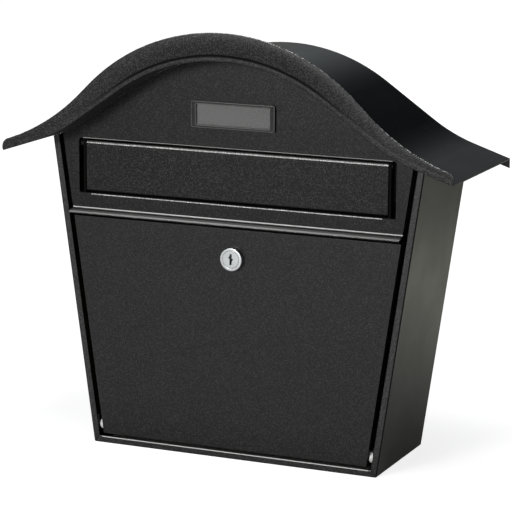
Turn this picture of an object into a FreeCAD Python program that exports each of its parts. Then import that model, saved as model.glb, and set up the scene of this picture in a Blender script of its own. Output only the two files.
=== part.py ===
import FreeCAD, Part
import math
import os

V = FreeCAD.Vector

# Wall-mounted letter box in folded sheet steel.
# Frame: +X right, +Y into the wall, +Z up, origin at the bottom centre of the overall box.
# All sizes are in millimetres and degrees.

# Sheet metal
SHEET = 1.0
BEND = 0.6
SEAT = 0.2

# Roof: a bell-shaped sheet, straight from front to back
ROOF_WIDTH = 420.0
ROOF_DEPTH = 151.0
ROOF_OVERHANG = 31.0
CROWN_RADIUS = 166.3
FLANK_ANGLE = 34.7
FLANK_RUN = 55.1
SWEEP_RADIUS = 145.4
EAVE_ANGLE = 18.4
REAR_FLANGE = 8.0

# Fascia: the crescent that stands up along the roof's front edge
FASCIA_HEIGHT = 23.4
FASCIA_THICKNESS = 1.2
CREST_RADIUS = 177.7
CREST_FLANK_ANGLE = 44.3
CREST_FLANK_RUN = 13.4
CREST_SWEEP_RADIUS = 188.0
CREST_EAVE_ANGLE = 20.0
FASCIA_TIP_ROUND = 6.0
HEM_HEIGHT = 4.6
HEM_PROUD = 0.9
HEM_BEVEL = 0.7

# Body: floor and two leaning side walls folded from one sheet
BODY_WIDTH = 272.0
SIDE_LEAN = 8.1
RIM_WIDTH = 6.0
RIM_ROUND = 1.1
MITRE_SLIT = 0.3
BACK_FLANGE = 10.0
FLOOR_FLANGE = 5.0

# Back panel: a shallow pan that reaches the wall
PAN_DEPTH = 7.5
PAN_INSET = 3.0
PAN_FLANGE = 14.0
PAN_ROOF_INSET = 22.0
FIXING_SPACING_X = 180.0
FIXING_SPACING_Z = 140.0
FIXING_LOW = 90.0
FIXING_RADIUS = 3.5

# Front plate with the letter slot and the drip ledge
PLATE_GAP = 4.6
PLATE_BOTTOM = 214.0
PLATE_HEIGHT = 142.5
PLATE_RETURN = 12.0
PLATE_WELD_FLANGE = 12.0
LEDGE_LENGTH = 9.4
LEDGE_DROP = 2.9
SLOT_WIDTH = 299.0
SLOT_HEIGHT = 48.6
SLOT_LIFT = 14.0
SLOT_CORNER = 2.2
LIP_END_GAP = 12.0
LIP_DEPTH = 11.0
LIP_DROP = 12.0
EAR_SLOT = 4.7
EAR_THICKNESS = 1.8
EAR_DEPTH = 8.0
EAR_RISE = 4.0

# Letter flap, hung on a rod through the plate's ears
FLAP_SIDE_GAP = 1.0
FLAP_BOTTOM_GAP = 1.9
FLAP_RECESS = 0.2
FLAP_FLANGE = 19.0
FLAP_GUSSET_TOP = 30.0
FLAP_GUSSET_NOSE = 9.0
FLAP_LUG_HEIGHT = 8.0
FLAP_AXIS_DROP = 4.6
ROD_RADIUS = 1.5
ROD_FIT = 0.1
ROD_HEAD_RADIUS = 2.4
ROD_HEAD = 1.0
ROD_CAP_RADIUS = 2.7
ROD_CAP = 1.8

# Door, hinged along its lower edge
DOOR_SIDE_GAP = 4.8
DOOR_BOTTOM_GAP = 3.1
DOOR_TOP_GAP = 3.6
DOOR_RETURN = 12.0
DOOR_TOP_RETURN = 10.0
DOOR_BOTTOM_RETURN = 8.0
DOOR_CORNER_GAP = 1.5

# Hinge: brackets on the floor, plastic bushes and two short pins
HINGE_HEIGHT = 16.0
HINGE_DEPTH = 7.5
BUSH_RADIUS = 5.0
BUSH_SLEEVE_RADIUS = 3.2
BUSH_SLEEVE = 2.4
BUSH_CLEARANCE = 0.25
PIN_RADIUS = 2.0
PIN_FIT = 0.05
PIN_HEAD_RADIUS = 3.4
PIN_HEAD = 1.0
BRACKET_THICKNESS = 1.5
BRACKET_DEPTH = 14.0
BRACKET_FOOT = 14.0
BRACKET_RISE = 9.0

# Cam lock
LOCK_DROP = 25.8
BEZEL_RADIUS = 10.3
BEZEL_PROUD = 5.0
BEZEL_BEVEL = 1.2
BARREL_RADIUS = 8.0
BARREL_FIT = 0.1
PLUG_FACE_RADIUS = 7.6
PLUG_FACE = 2.6
PLUG_RADIUS = 5.5
PLUG_FIT = 0.05
PLUG_SQUARE = 6.4
KEYWAY_HEIGHT = 9.6
KEYWAY_WIDTH = 2.0
KEYWAY_STEP = 1.3
KEYWAY_DEPTH = 9.0
NUT_FLATS = 22.0
NUT_THICKNESS = 3.5
CAM_THICKNESS = 2.0
CAM_WIDTH = 13.0
CAM_CLEARANCE = 0.5
CAM_CATCH = 8.0
WASHER_RADIUS = 6.0
WASHER_THICKNESS = 0.8
SCREW_HEAD_RADIUS = 4.4
SCREW_HEAD = 2.6
SCREW_RADIUS = 2.4
SCREW_LENGTH = 7.0
SCREW_FIT = 0.05

# Name plate: a frame with a clear window over a bare card
NAME_WIDTH = 78.6
NAME_HEIGHT = 23.2
NAME_PROUD = 2.8
NAME_RISE = 28.8
NAME_CORNER = 1.6
NAME_BEVEL = 0.6
NAME_BORDER_X = 4.8
NAME_BORDER_Z = 2.6
NAME_REBATE = 1.6
WINDOW_THICKNESS = 1.0
CARD_THICKNESS = 0.6
CARD_FIT = 0.2

# Derived places
REAR_Y = ROOF_DEPTH / 2
ROOF_FRONT_Y = -ROOF_DEPTH / 2
RIM_Y = ROOF_FRONT_Y + ROOF_OVERHANG
BODY_BACK_Y = REAR_Y - PAN_DEPTH
BODY_DEPTH = BODY_BACK_Y - RIM_Y
LEAN = math.tan(math.radians(SIDE_LEAN))
WALL_ACROSS = SHEET / math.cos(math.radians(SIDE_LEAN))
ROOF_APEX = PLATE_BOTTOM + PLATE_HEIGHT
CREST_APEX = ROOF_APEX + FASCIA_HEIGHT
TALL = 2 * CREST_APEX
PLATE_INSET = RIM_WIDTH + PLATE_GAP
SLOT_BOTTOM = PLATE_BOTTOM + SLOT_LIFT
SLOT_TOP = SLOT_BOTTOM + SLOT_HEIGHT
NAME_CENTRE = SLOT_TOP + NAME_RISE
EAR_OUTER = SLOT_WIDTH / 2 - EAR_SLOT
EAR_INNER = EAR_OUTER - EAR_THICKNESS
FLAP_HALF = EAR_INNER - FLAP_SIDE_GAP
FLAP_BOTTOM = SLOT_BOTTOM + FLAP_BOTTOM_GAP
FLAP_AXIS_Z = SLOT_TOP - FLAP_AXIS_DROP
ROLL_BORE = ROD_RADIUS + ROD_FIT
ROLL_RADIUS = ROLL_BORE + SHEET
FLAP_Y = RIM_Y + FLAP_RECESS
FLAP_AXIS_Y = FLAP_Y + ROLL_RADIUS
DOOR_INSET = RIM_WIDTH + DOOR_SIDE_GAP
DOOR_BOTTOM = RIM_WIDTH + DOOR_BOTTOM_GAP
DOOR_TOP = PLATE_BOTTOM - LEDGE_DROP - SHEET - DOOR_TOP_GAP
LOCK_HEIGHT = DOOR_TOP - LOCK_DROP
HINGE_Y = RIM_Y + HINGE_DEPTH
HINGE_Z = HINGE_HEIGHT
LIP_BACK_Y = RIM_Y + LIP_DEPTH
CAM_Y = LIP_BACK_Y + CAM_CLEARANCE


def half_width(z):
    """Half the body's outer width at height z."""
    return BODY_WIDTH / 2 + LEAN * z


def box(x0, x1, y0, y1, z0, z1):
    """Box between two corners."""
    return Part.makeBox(x1 - x0, y1 - y0, z1 - z0, V(x0, y0, z0))


def rod_x(x0, x1, y, z, radius):
    """Cylinder along X."""
    return Part.makeCylinder(radius, x1 - x0, V(x0, y, z), V(1, 0, 0))


def rod_y(y0, y1, x, z, radius):
    """Cylinder along Y."""
    return Part.makeCylinder(radius, y1 - y0, V(x, y0, z), V(0, 1, 0))


def joined(first, *others):
    """One clean solid out of several that meet."""
    return first.multiFuse(list(others)).removeSplitter()


def mirrored(shape):
    """Copy on the other side of the middle plane."""
    return shape.mirror(V(0, 0, 0), V(1, 0, 0))


def prism_y(points, y0, y1):
    """Polygon of (x, z) points, extruded from y0 to y1."""
    corners = [V(x, y0, z) for x, z in points]
    wire = Part.makePolygon(corners + corners[:1])
    return Part.Face(wire).extrude(V(0, y1 - y0, 0))


def prism_x(points, x0, x1):
    """Polygon of (y, z) points, extruded from x0 to x1."""
    corners = [V(x0, y, z) for y, z in points]
    wire = Part.makePolygon(corners + corners[:1])
    return Part.Face(wire).extrude(V(x1 - x0, 0, 0))


def side_offset(points, distance):
    """Open polyline moved to its left by a distance."""
    lines = []
    for (u0, v0), (u1, v1) in zip(points, points[1:]):
        run = math.hypot(u1 - u0, v1 - v0)
        direction = ((u1 - u0) / run, (v1 - v0) / run)
        start = (u0 - direction[1] * distance, v0 + direction[0] * distance)
        end = (u1 - direction[1] * distance, v1 + direction[0] * distance)
        lines.append((start, end, direction))
    moved = [lines[0][0]]
    for (start, _, first), (other, _, second) in zip(lines, lines[1:]):
        cross = first[0] * second[1] - first[1] * second[0]
        along = ((other[0] - start[0]) * second[1] - (other[1] - start[1]) * second[0]) / cross
        moved.append((start[0] + first[0] * along, start[1] + first[1] * along))
    moved.append(lines[-1][1])
    return moved


def turns(points):
    """Sign of the turn at each inner point: positive to the left."""
    signs = []
    for (u0, v0), (u1, v1), (u2, v2) in zip(points, points[1:], points[2:]):
        signs.append((u1 - u0) * (v2 - v1) - (v1 - v0) * (u2 - u1))
    return signs


def rounded_path(points, radii, place):
    """Edges along a polyline whose inner corners are rounded."""
    edges = []
    last = points[0]
    for before, corner, after, radius in zip(points, points[1:], points[2:], radii):
        back = (before[0] - corner[0], before[1] - corner[1])
        ahead = (after[0] - corner[0], after[1] - corner[1])
        back_run = math.hypot(*back)
        ahead_run = math.hypot(*ahead)
        back = (back[0] / back_run, back[1] / back_run)
        ahead = (ahead[0] / ahead_run, ahead[1] / ahead_run)
        half = math.acos(back[0] * ahead[0] + back[1] * ahead[1]) / 2
        cut = radius / math.tan(half)
        reach = radius / math.sin(half)
        middle = (back[0] + ahead[0], back[1] + ahead[1])
        size = math.hypot(*middle)
        middle = (middle[0] / size, middle[1] / size)
        start = (corner[0] + back[0] * cut, corner[1] + back[1] * cut)
        end = (corner[0] + ahead[0] * cut, corner[1] + ahead[1] * cut)
        crest = (corner[0] + middle[0] * (reach - radius), corner[1] + middle[1] * (reach - radius))
        edges.append(Part.LineSegment(place(*last), place(*start)).toShape())
        edges.append(Part.Arc(place(*start), place(*crest), place(*end)).toShape())
        last = end
    edges.append(Part.LineSegment(place(*last), place(*points[-1])).toShape())
    return edges


def folded_section(points, place):
    """Face of a folded sheet: its outer line is given and the sheet lies to the left of it."""
    inner = side_offset(points, SHEET)
    signs = turns(points)
    outer_radii = [BEND + SHEET if sign > 0 else BEND for sign in signs]
    inner_radii = [BEND if sign > 0 else BEND + SHEET for sign in signs]
    edges = rounded_path(points, outer_radii, place)
    edges.append(Part.LineSegment(place(*points[-1]), place(*inner[-1])).toShape())
    edges += rounded_path(inner[::-1], inner_radii[::-1], place)
    edges.append(Part.LineSegment(place(*inner[0]), place(*points[0])).toShape())
    return Part.Face(Part.Wire(Part.__sortEdges__(edges)))


def folded_across(points, x0, x1):
    """Folded sheet with one (y, z) section from x0 to x1."""
    section = folded_section(points, lambda y, z: V(x0, y, z))
    return section.extrude(V(x1 - x0, 0, 0))


def bell_points(apex, crown, flank, run, sweep, eave, offset):
    """Right half of a bell line: crown arc, straight flank, reverse sweep and straight eave."""
    flank = math.radians(flank)
    eave = math.radians(eave)
    middle = (flank + eave) / 2
    across = lambda angle: (math.sin(angle), math.cos(angle))
    centre = (0.0, apex - crown)
    on_crown = lambda angle: tuple(c + (crown + offset) * a for c, a in zip(centre, across(angle)))
    base = tuple(c + crown * a for c, a in zip(centre, across(flank)))
    foot = (base[0] + run * math.cos(flank), base[1] - run * math.sin(flank))
    hub = tuple(f + sweep * a for f, a in zip(foot, across(flank)))
    on_sweep = lambda angle: tuple(h - (sweep - offset) * a for h, a in zip(hub, across(angle)))
    last = on_sweep(eave)
    half = ROOF_WIDTH / 2
    tip = (half, last[1] - (half - last[0]) * math.tan(eave))
    top = (0.0, apex + offset)
    return [top, on_crown(flank), on_sweep(flank), on_sweep(middle), last, tip]


def bell_edges(points, y):
    """Edges of the whole bell line, from the left tip to the right tip."""
    top, shoulder, foot, middle, last, tip = points
    right = lambda p: V(p[0], y, p[1])
    left = lambda p: V(-p[0], y, p[1])
    return [
        Part.LineSegment(left(tip), left(last)).toShape(),
        Part.Arc(left(last), left(middle), left(foot)).toShape(),
        Part.LineSegment(left(foot), left(shoulder)).toShape(),
        Part.Arc(left(shoulder), right(top), right(shoulder)).toShape(),
        Part.LineSegment(right(shoulder), right(foot)).toShape(),
        Part.Arc(right(foot), right(middle), right(last)).toShape(),
        Part.LineSegment(right(last), right(tip)).toShape(),
    ]


def roof_line(offset):
    """Bell line of the roof sheet: its top face, moved outwards by an offset."""
    return bell_points(ROOF_APEX, CROWN_RADIUS, FLANK_ANGLE, FLANK_RUN, SWEEP_RADIUS, EAVE_ANGLE, offset)


def crest_line():
    """Bell line of the fascia's upper edge."""
    return bell_points(CREST_APEX, CREST_RADIUS, CREST_FLANK_ANGLE, CREST_FLANK_RUN,
                       CREST_SWEEP_RADIUS, CREST_EAVE_ANGLE, 0.0)


def bell_band(lower, upper, y0, y1):
    """Solid between two bell lines, from y0 to y1."""
    tip_low = lower[-1]
    tip_high = upper[-1]
    edges = bell_edges(lower, y0) + bell_edges(upper, y0)
    for side in (-1, 1):
        low = V(side * tip_low[0], y0, tip_low[1])
        high = V(side * tip_high[0], y0, tip_high[1])
        edges.append(Part.LineSegment(low, high).toShape())
    face = Part.Face(Part.Wire(Part.__sortEdges__(edges)))
    return face.extrude(V(0, y1 - y0, 0))


def under_roof(depth, y0, y1):
    """Everything lower than a bell line that lies a depth below the roof's top face."""
    line = roof_line(-depth)
    half, tip = line[-1]
    edges = bell_edges(line, y0)
    rim = [V(half, y0, tip), V(half, y0, -TALL), V(-half, y0, -TALL), V(-half, y0, tip)]
    edges += [Part.LineSegment(a, b).toShape() for a, b in zip(rim, rim[1:])]
    face = Part.Face(Part.Wire(Part.__sortEdges__(edges)))
    return face.extrude(V(0, y1 - y0, 0))


def front_region(inset, bottom, roof_depth, y0, y1):
    """Flat slab inside the leaning sides, above a bottom line and under the roof."""
    low = half_width(bottom) - inset
    high = half_width(TALL) - inset
    slab = prism_y([(-low, bottom), (low, bottom), (high, TALL), (-high, TALL)], y0, y1)
    return slab.common(under_roof(roof_depth, y0, y1))


def leaning_strip(points):
    """Right-hand folded strip: a section of (inset square to the side, y) that runs up along the side."""
    tilt = math.radians(SIDE_LEAN)
    across = (math.cos(tilt), -math.sin(tilt))
    section = folded_section(points, lambda inset, y: V(half_width(0) - inset * across[0], y, -inset * across[1]))
    return section.extrude(V(TALL * math.sin(tilt), 0, TALL * math.cos(tilt)))


def roof_sheet():
    """Bell-shaped roof with its rear edge turned down."""
    front = ROOF_FRONT_Y + HEM_PROUD + FASCIA_THICKNESS
    sheet = bell_band(roof_line(-SHEET), roof_line(0.0), front, REAR_Y)
    flange = bell_band(roof_line(-REAR_FLANGE), roof_line(0.0), REAR_Y - SHEET, REAR_Y)
    return joined(sheet, flange)


def roof_fascia():
    """Crescent on the roof's front edge, with a bevelled hem along its lower line."""
    front = ROOF_FRONT_Y + HEM_PROUD
    back = front + FASCIA_THICKNESS
    crescent = bell_band(roof_line(-SHEET), crest_line(), front, back)
    tip = crest_line()[-1]
    corners = []
    for edge in crescent.Edges:
        middle = edge.CenterOfMass
        at_tip = abs(abs(middle.x) - tip[0]) < SEAT and abs(middle.z - tip[1]) < SEAT
        if at_tip and abs(edge.Length - FASCIA_THICKNESS) < SEAT:
            corners.append(edge)
    crescent = crescent.makeFillet(FASCIA_TIP_ROUND, corners)
    hem = bell_band(roof_line(-SHEET), roof_line(HEM_HEIGHT - SHEET), ROOF_FRONT_Y, back)
    long_edges = []
    for edge in hem.Edges:
        ends = [vertex.Y for vertex in edge.Vertexes]
        on_front = max(ends) < ROOF_FRONT_Y + SEAT
        if on_front:
            long_edges.append(edge)
    hem = hem.makeChamfer(HEM_BEVEL, long_edges)
    return joined(crescent, hem)


def housing_wrap():
    """Floor and side walls in one sheet, with a front rim and a rear flange folded inwards."""
    high = half_width(TALL)
    low = half_width(0)
    outline = [(-high, TALL), (-low, 0), (low, 0), (high, TALL)]
    wrap = folded_section(outline, lambda x, z: V(x, RIM_Y, z)).extrude(V(0, BODY_DEPTH, 0))
    outer_edges = rounded_path(outline, [BEND + SHEET] * 2, lambda x, z: V(x, RIM_Y, z))
    outer_edges.append(Part.LineSegment(V(high, RIM_Y, TALL), V(-high, RIM_Y, TALL)).toShape())
    outer = Part.Face(Part.Wire(Part.__sortEdges__(outer_edges)))
    rim = outer.extrude(V(0, SHEET, 0))
    rim = rim.cut(front_region(RIM_WIDTH, RIM_WIDTH, -TALL, RIM_Y - SHEET, RIM_Y + 2 * SHEET))
    for side in (-1, 1):
        rim = rim.cut(mitre_slit(side))
    flange = outer.extrude(V(0, SHEET, 0))
    flange.translate(V(0, BODY_DEPTH - SHEET, 0))
    cut_back = (BODY_BACK_Y - 2 * SHEET, BODY_BACK_Y + SHEET)
    flange = flange.cut(front_region(BACK_FLANGE, FLOOR_FLANGE, -TALL, *cut_back))
    whole = joined(wrap, rim, flange)
    whole = whole.common(under_roof(SHEET + SEAT, RIM_Y - SHEET, BODY_BACK_Y + SHEET))
    front_edges = []
    for edge in whole.Edges:
        ends = [vertex.Y for vertex in edge.Vertexes]
        middle = edge.CenterOfMass
        at_front = max(ends) < RIM_Y + SEAT
        at_side = abs(middle.x) > half_width(middle.z) - SHEET / 2
        if at_front and (at_side or middle.z < SHEET / 2):
            front_edges.append(edge)
    return whole.makeFillet(RIM_ROUND, front_edges)


def mitre_slit(side):
    """Thin cut through a lower corner of the rim, where two folded edges meet."""
    inner = (half_width(RIM_WIDTH) - RIM_WIDTH, RIM_WIDTH)
    outer = (half_width(0), 0.0)
    run = math.hypot(outer[0] - inner[0], outer[1] - inner[1])
    along = ((outer[0] - inner[0]) / run, (outer[1] - inner[1]) / run)
    across = (-along[1] * MITRE_SLIT / 2, along[0] * MITRE_SLIT / 2)
    start = (inner[0] - along[0] * SHEET, inner[1] - along[1] * SHEET)
    end = (outer[0] - along[0] * 3 * SHEET, outer[1] - along[1] * 3 * SHEET)
    points = [
        (side * (start[0] + across[0]), start[1] + across[1]),
        (side * (end[0] + across[0]), end[1] + across[1]),
        (side * (end[0] - across[0]), end[1] - across[1]),
        (side * (start[0] - across[0]), start[1] - across[1]),
    ]
    return prism_y(points, RIM_Y - SHEET, RIM_Y + 2 * SHEET)


def back_panel():
    """Shallow pan behind the body: its raised field lies against the wall and has four fixing holes."""
    flange = front_region(PAN_INSET, PAN_INSET, SHEET + SEAT, BODY_BACK_Y, BODY_BACK_Y + SHEET)
    field_inset = PAN_INSET + PAN_FLANGE
    field = front_region(field_inset, field_inset, PAN_ROOF_INSET, BODY_BACK_Y, REAR_Y)
    hollow = front_region(field_inset + SHEET, field_inset + SHEET, PAN_ROOF_INSET + SHEET,
                          BODY_BACK_Y - SHEET, REAR_Y - SHEET)
    pan = joined(flange, field).cut(hollow)
    for x in (-FIXING_SPACING_X / 2, FIXING_SPACING_X / 2):
        for z in (FIXING_LOW, FIXING_LOW + FIXING_SPACING_Z):
            pan = pan.cut(rod_y(BODY_BACK_Y, REAR_Y + SHEET, x, z, FIXING_RADIUS))
    return pan


def slot_cut():
    """Rectangular letter slot with rounded corners, cut through the front sheet."""
    half = SLOT_WIDTH / 2
    cut = box(-half, half, RIM_Y - SHEET, RIM_Y + 2 * SHEET, SLOT_BOTTOM, SLOT_TOP)
    upright = [e for e in cut.Edges if abs(e.Length - 3 * SHEET) < SEAT]
    return cut.makeFillet(SLOT_CORNER, upright)


def front_plate():
    """Upper front in one folded sheet: slot, folded lip, hinge ears, side channels and drip ledge."""
    back = RIM_Y + SHEET
    ledge_joint = PLATE_BOTTOM + 2 * (BEND + SHEET)
    face = front_region(PLATE_INSET, ledge_joint, SHEET + SEAT, RIM_Y, back)
    lip_half = SLOT_WIDTH / 2 - LIP_END_GAP
    lip_joint = SLOT_BOTTOM - 2 * (BEND + SHEET)
    face = face.cut(slot_cut())
    face = face.cut(box(-lip_half, lip_half, RIM_Y - SHEET, back + SHEET, lip_joint, SLOT_TOP))
    lip_low = SLOT_BOTTOM - LIP_DROP
    lip = folded_across([(LIP_BACK_Y, lip_low), (LIP_BACK_Y, SLOT_BOTTOM), (RIM_Y, SLOT_BOTTOM),
                         (RIM_Y, lip_joint)], -lip_half, lip_half)
    ledge_half = half_width(PLATE_BOTTOM) - PLATE_INSET
    ledge = folded_across([(RIM_Y, ledge_joint), (RIM_Y, PLATE_BOTTOM),
                           (RIM_Y - LEDGE_LENGTH, PLATE_BOTTOM - LEDGE_DROP)], -ledge_half, ledge_half)
    channel_back = RIM_Y + PLATE_RETURN
    weld_back = channel_back + PLATE_WELD_FLANGE
    weld_face = SHEET + SEAT
    edge_inset = PLATE_INSET * math.cos(math.radians(SIDE_LEAN))
    strip = leaning_strip([(weld_face, weld_back), (weld_face, channel_back),
                           (edge_inset, channel_back), (edge_inset, RIM_Y)])
    strip = strip.common(front_region(0.0, ledge_joint, SHEET + SEAT, RIM_Y, weld_back))
    ears = [hinge_ear(), mirrored(hinge_ear())]
    return joined(face, lip, ledge, strip, mirrored(strip), *ears)


def hinge_ear():
    """Upright ear beside the slot, with the hole for the flap's rod."""
    low = SLOT_BOTTOM - SLOT_LIFT / 2
    high = FLAP_AXIS_Z + EAR_RISE
    ear = box(EAR_INNER, EAR_OUTER, RIM_Y, RIM_Y + EAR_DEPTH, low, high)
    top = [e for e in ear.Edges if abs(e.CenterOfMass.z - high) < SEAT and abs(e.Length - EAR_THICKNESS) < SEAT]
    ear = ear.makeFillet(ROD_RADIUS, top)
    bore = rod_x(EAR_INNER - SHEET, EAR_OUTER + SHEET, FLAP_AXIS_Y, FLAP_AXIS_Z, ROLL_BORE)
    return ear.cut(bore)


def flap():
    """Letter flap: flat face, top edge rolled round the rod, lower edge and sides folded inwards."""
    tail = FLAP_Y + FLAP_FLANGE
    sheet = folded_across([(FLAP_Y, FLAP_AXIS_Z), (FLAP_Y, FLAP_BOTTOM), (tail, FLAP_BOTTOM)],
                          -FLAP_HALF, FLAP_HALF)
    roll = rod_x(-FLAP_HALF, FLAP_HALF, FLAP_AXIS_Y, FLAP_AXIS_Z, ROLL_RADIUS)
    seam_low = FLAP_AXIS_Z - 2 * ROLL_RADIUS
    seam = box(-2 * FLAP_HALF, 2 * FLAP_HALF, FLAP_Y + SHEET, FLAP_AXIS_Y, seam_low, FLAP_AXIS_Z)
    bore = rod_x(-2 * FLAP_HALF, 2 * FLAP_HALF, FLAP_AXIS_Y, FLAP_AXIS_Z, ROLL_BORE)
    roll = roll.cut(seam)
    inside = FLAP_Y + SHEET / 2
    floor = FLAP_BOTTOM + SHEET / 2
    gusset = prism_x([(inside, floor), (tail, floor), (tail, FLAP_BOTTOM + 2 * SHEET),
                      (FLAP_Y + FLAP_GUSSET_NOSE, FLAP_BOTTOM + FLAP_GUSSET_TOP),
                      (inside, FLAP_BOTTOM + FLAP_GUSSET_TOP)], FLAP_HALF - SHEET, FLAP_HALF)
    lug_y = RIM_Y + EAR_DEPTH + SEAT
    lug_z = FLAP_BOTTOM + FLAP_LUG_HEIGHT
    lug = box(FLAP_HALF - SHEET, EAR_OUTER - EAR_THICKNESS / 2, lug_y, lug_y + SHEET,
              lug_z, lug_z + FLAP_LUG_HEIGHT)
    sides = [gusset, lug, mirrored(gusset), mirrored(lug)]
    return joined(sheet, roll, *sides).cut(bore)


def flap_rod():
    """Straight hinge rod with a head at its right end."""
    left = -EAR_OUTER - ROD_CAP
    shank = rod_x(left, EAR_OUTER, FLAP_AXIS_Y, FLAP_AXIS_Z, ROD_RADIUS)
    head = rod_x(EAR_OUTER, EAR_OUTER + ROD_HEAD, FLAP_AXIS_Y, FLAP_AXIS_Z, ROD_HEAD_RADIUS)
    return joined(shank, head)


def flap_rod_cap():
    """Push-on cap that keeps the rod in the left ear."""
    left = -EAR_OUTER - ROD_CAP - SHEET
    cap = rod_x(left, -EAR_OUTER, FLAP_AXIS_Y, FLAP_AXIS_Z, ROD_CAP_RADIUS)
    return cap.cut(rod_x(-EAR_OUTER - ROD_CAP, 0, FLAP_AXIS_Y, FLAP_AXIS_Z, ROD_RADIUS))


def door():
    """Door pan: leaning sides, four folded edges, holes for the lock barrel and the hinge pins."""
    back = RIM_Y + SHEET
    low = half_width(DOOR_BOTTOM) - DOOR_INSET
    high = half_width(DOOR_TOP) - DOOR_INSET
    face = prism_y([(-low, DOOR_BOTTOM), (low, DOOR_BOTTOM), (high, DOOR_TOP), (-high, DOOR_TOP)], RIM_Y, back)
    inset = DOOR_INSET + WALL_ACROSS
    inner_low = half_width(DOOR_BOTTOM + SHEET) - inset - DOOR_CORNER_GAP
    inner_high = half_width(DOOR_TOP) - inset - DOOR_CORNER_GAP
    top = box(-inner_high, inner_high, RIM_Y, RIM_Y + DOOR_TOP_RETURN, DOOR_TOP - SHEET, DOOR_TOP)
    bottom = box(-inner_low, inner_low, RIM_Y, RIM_Y + DOOR_BOTTOM_RETURN, DOOR_BOTTOM, DOOR_BOTTOM + SHEET)
    rise = DOOR_TOP - DOOR_BOTTOM
    corners = [V(low, RIM_Y, DOOR_BOTTOM), V(low, RIM_Y + DOOR_RETURN, DOOR_BOTTOM),
               V(low - WALL_ACROSS, RIM_Y + DOOR_RETURN, DOOR_BOTTOM), V(low - WALL_ACROSS, RIM_Y, DOOR_BOTTOM)]
    side = Part.Face(Part.makePolygon(corners + corners[:1])).extrude(V(LEAN * rise, 0, rise))
    pan = joined(face, top, bottom, side, mirrored(side))
    pan = pan.cut(rod_y(RIM_Y - SHEET, back + SHEET, 0, LOCK_HEIGHT, BARREL_RADIUS + BARREL_FIT))
    pin_hole = PIN_RADIUS + PIN_FIT
    reach = BODY_WIDTH / 2
    return pan.cut(rod_x(-reach, reach, HINGE_Y, HINGE_Z, pin_hole))


def hinge_places():
    """Inner and outer end of the bush's collar, from the middle plane."""
    door_side = half_width(HINGE_Z + BUSH_RADIUS) - DOOR_INSET
    rim_side = half_width(HINGE_Z) - RIM_WIDTH
    return door_side + BUSH_CLEARANCE, rim_side


def hinge_bracket():
    """Right-hand bracket: an upright ear with a foot on the floor."""
    _, start = hinge_places()
    end = start + BRACKET_THICKNESS
    front = RIM_Y + SHEET + SEAT
    ear = box(start, end, front, front + BRACKET_DEPTH, SHEET, HINGE_Z + BRACKET_RISE)
    foot = box(start - BRACKET_FOOT, end, front, front + BRACKET_DEPTH, SHEET, SHEET + BRACKET_THICKNESS)
    bore = rod_x(start - SHEET, end + SHEET, HINGE_Y, HINGE_Z, BUSH_SLEEVE_RADIUS + PIN_FIT)
    return joined(ear, foot).cut(bore)


def hinge_bush():
    """Right-hand bush: a collar in the gap beside the door and a sleeve through the bracket."""
    inner, outer = hinge_places()
    collar = rod_x(inner, outer, HINGE_Y, HINGE_Z, BUSH_RADIUS)
    sleeve = rod_x(outer, outer + BUSH_SLEEVE, HINGE_Y, HINGE_Z, BUSH_SLEEVE_RADIUS)
    bore = rod_x(inner - SHEET, outer + BUSH_SLEEVE + SHEET, HINGE_Y, HINGE_Z, PIN_RADIUS + PIN_FIT)
    return joined(collar, sleeve).cut(bore)


def hinge_pin():
    """Right-hand pin: a head inside the door's side fold and a shank through the bush."""
    _, outer = hinge_places()
    fold = half_width(HINGE_Z - PIN_HEAD_RADIUS) - DOOR_INSET - WALL_ACROSS
    shank = rod_x(fold - SEAT, outer + BUSH_SLEEVE, HINGE_Y, HINGE_Z, PIN_RADIUS)
    head = rod_x(fold - SEAT - PIN_HEAD, fold - SEAT, HINGE_Y, HINGE_Z, PIN_HEAD_RADIUS)
    return joined(shank, head)


def lock_body():
    """Lock housing: bevelled bezel in front of the door and a barrel through it."""
    front = RIM_Y - BEZEL_PROUD
    bezel = rod_y(front, RIM_Y, 0, LOCK_HEIGHT, BEZEL_RADIUS)
    rim = [e for e in bezel.Edges if abs(e.CenterOfMass.y - front) < SEAT]
    bezel = bezel.makeChamfer(BEZEL_BEVEL, rim)
    barrel = rod_y(RIM_Y, CAM_Y - CAM_CLEARANCE, 0, LOCK_HEIGHT, BARREL_RADIUS)
    face_bore = rod_y(front - SHEET, front + PLUG_FACE, 0, LOCK_HEIGHT, PLUG_FACE_RADIUS + PLUG_FIT)
    bore = rod_y(front, CAM_Y, 0, LOCK_HEIGHT, PLUG_RADIUS + PLUG_FIT)
    return joined(bezel, barrel).cut(face_bore).cut(bore)


def lock_plug():
    """Turning plug: keyed face, round shank, square end for the cam and a hole for its screw."""
    front = RIM_Y - BEZEL_PROUD
    shoulder = front + PLUG_FACE - PLUG_FIT
    end = CAM_Y + CAM_THICKNESS
    half = PLUG_SQUARE / 2
    face = rod_y(front, shoulder, 0, LOCK_HEIGHT, PLUG_FACE_RADIUS)
    shank = rod_y(shoulder, CAM_Y, 0, LOCK_HEIGHT, PLUG_RADIUS)
    square = box(-half, half, CAM_Y, end, LOCK_HEIGHT - half, LOCK_HEIGHT + half)
    plug = joined(face, shank, square)
    return plug.cut(keyway()).cut(rod_y(end - SCREW_LENGTH, end + SHEET, 0, LOCK_HEIGHT, SCREW_RADIUS + SCREW_FIT))


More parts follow.
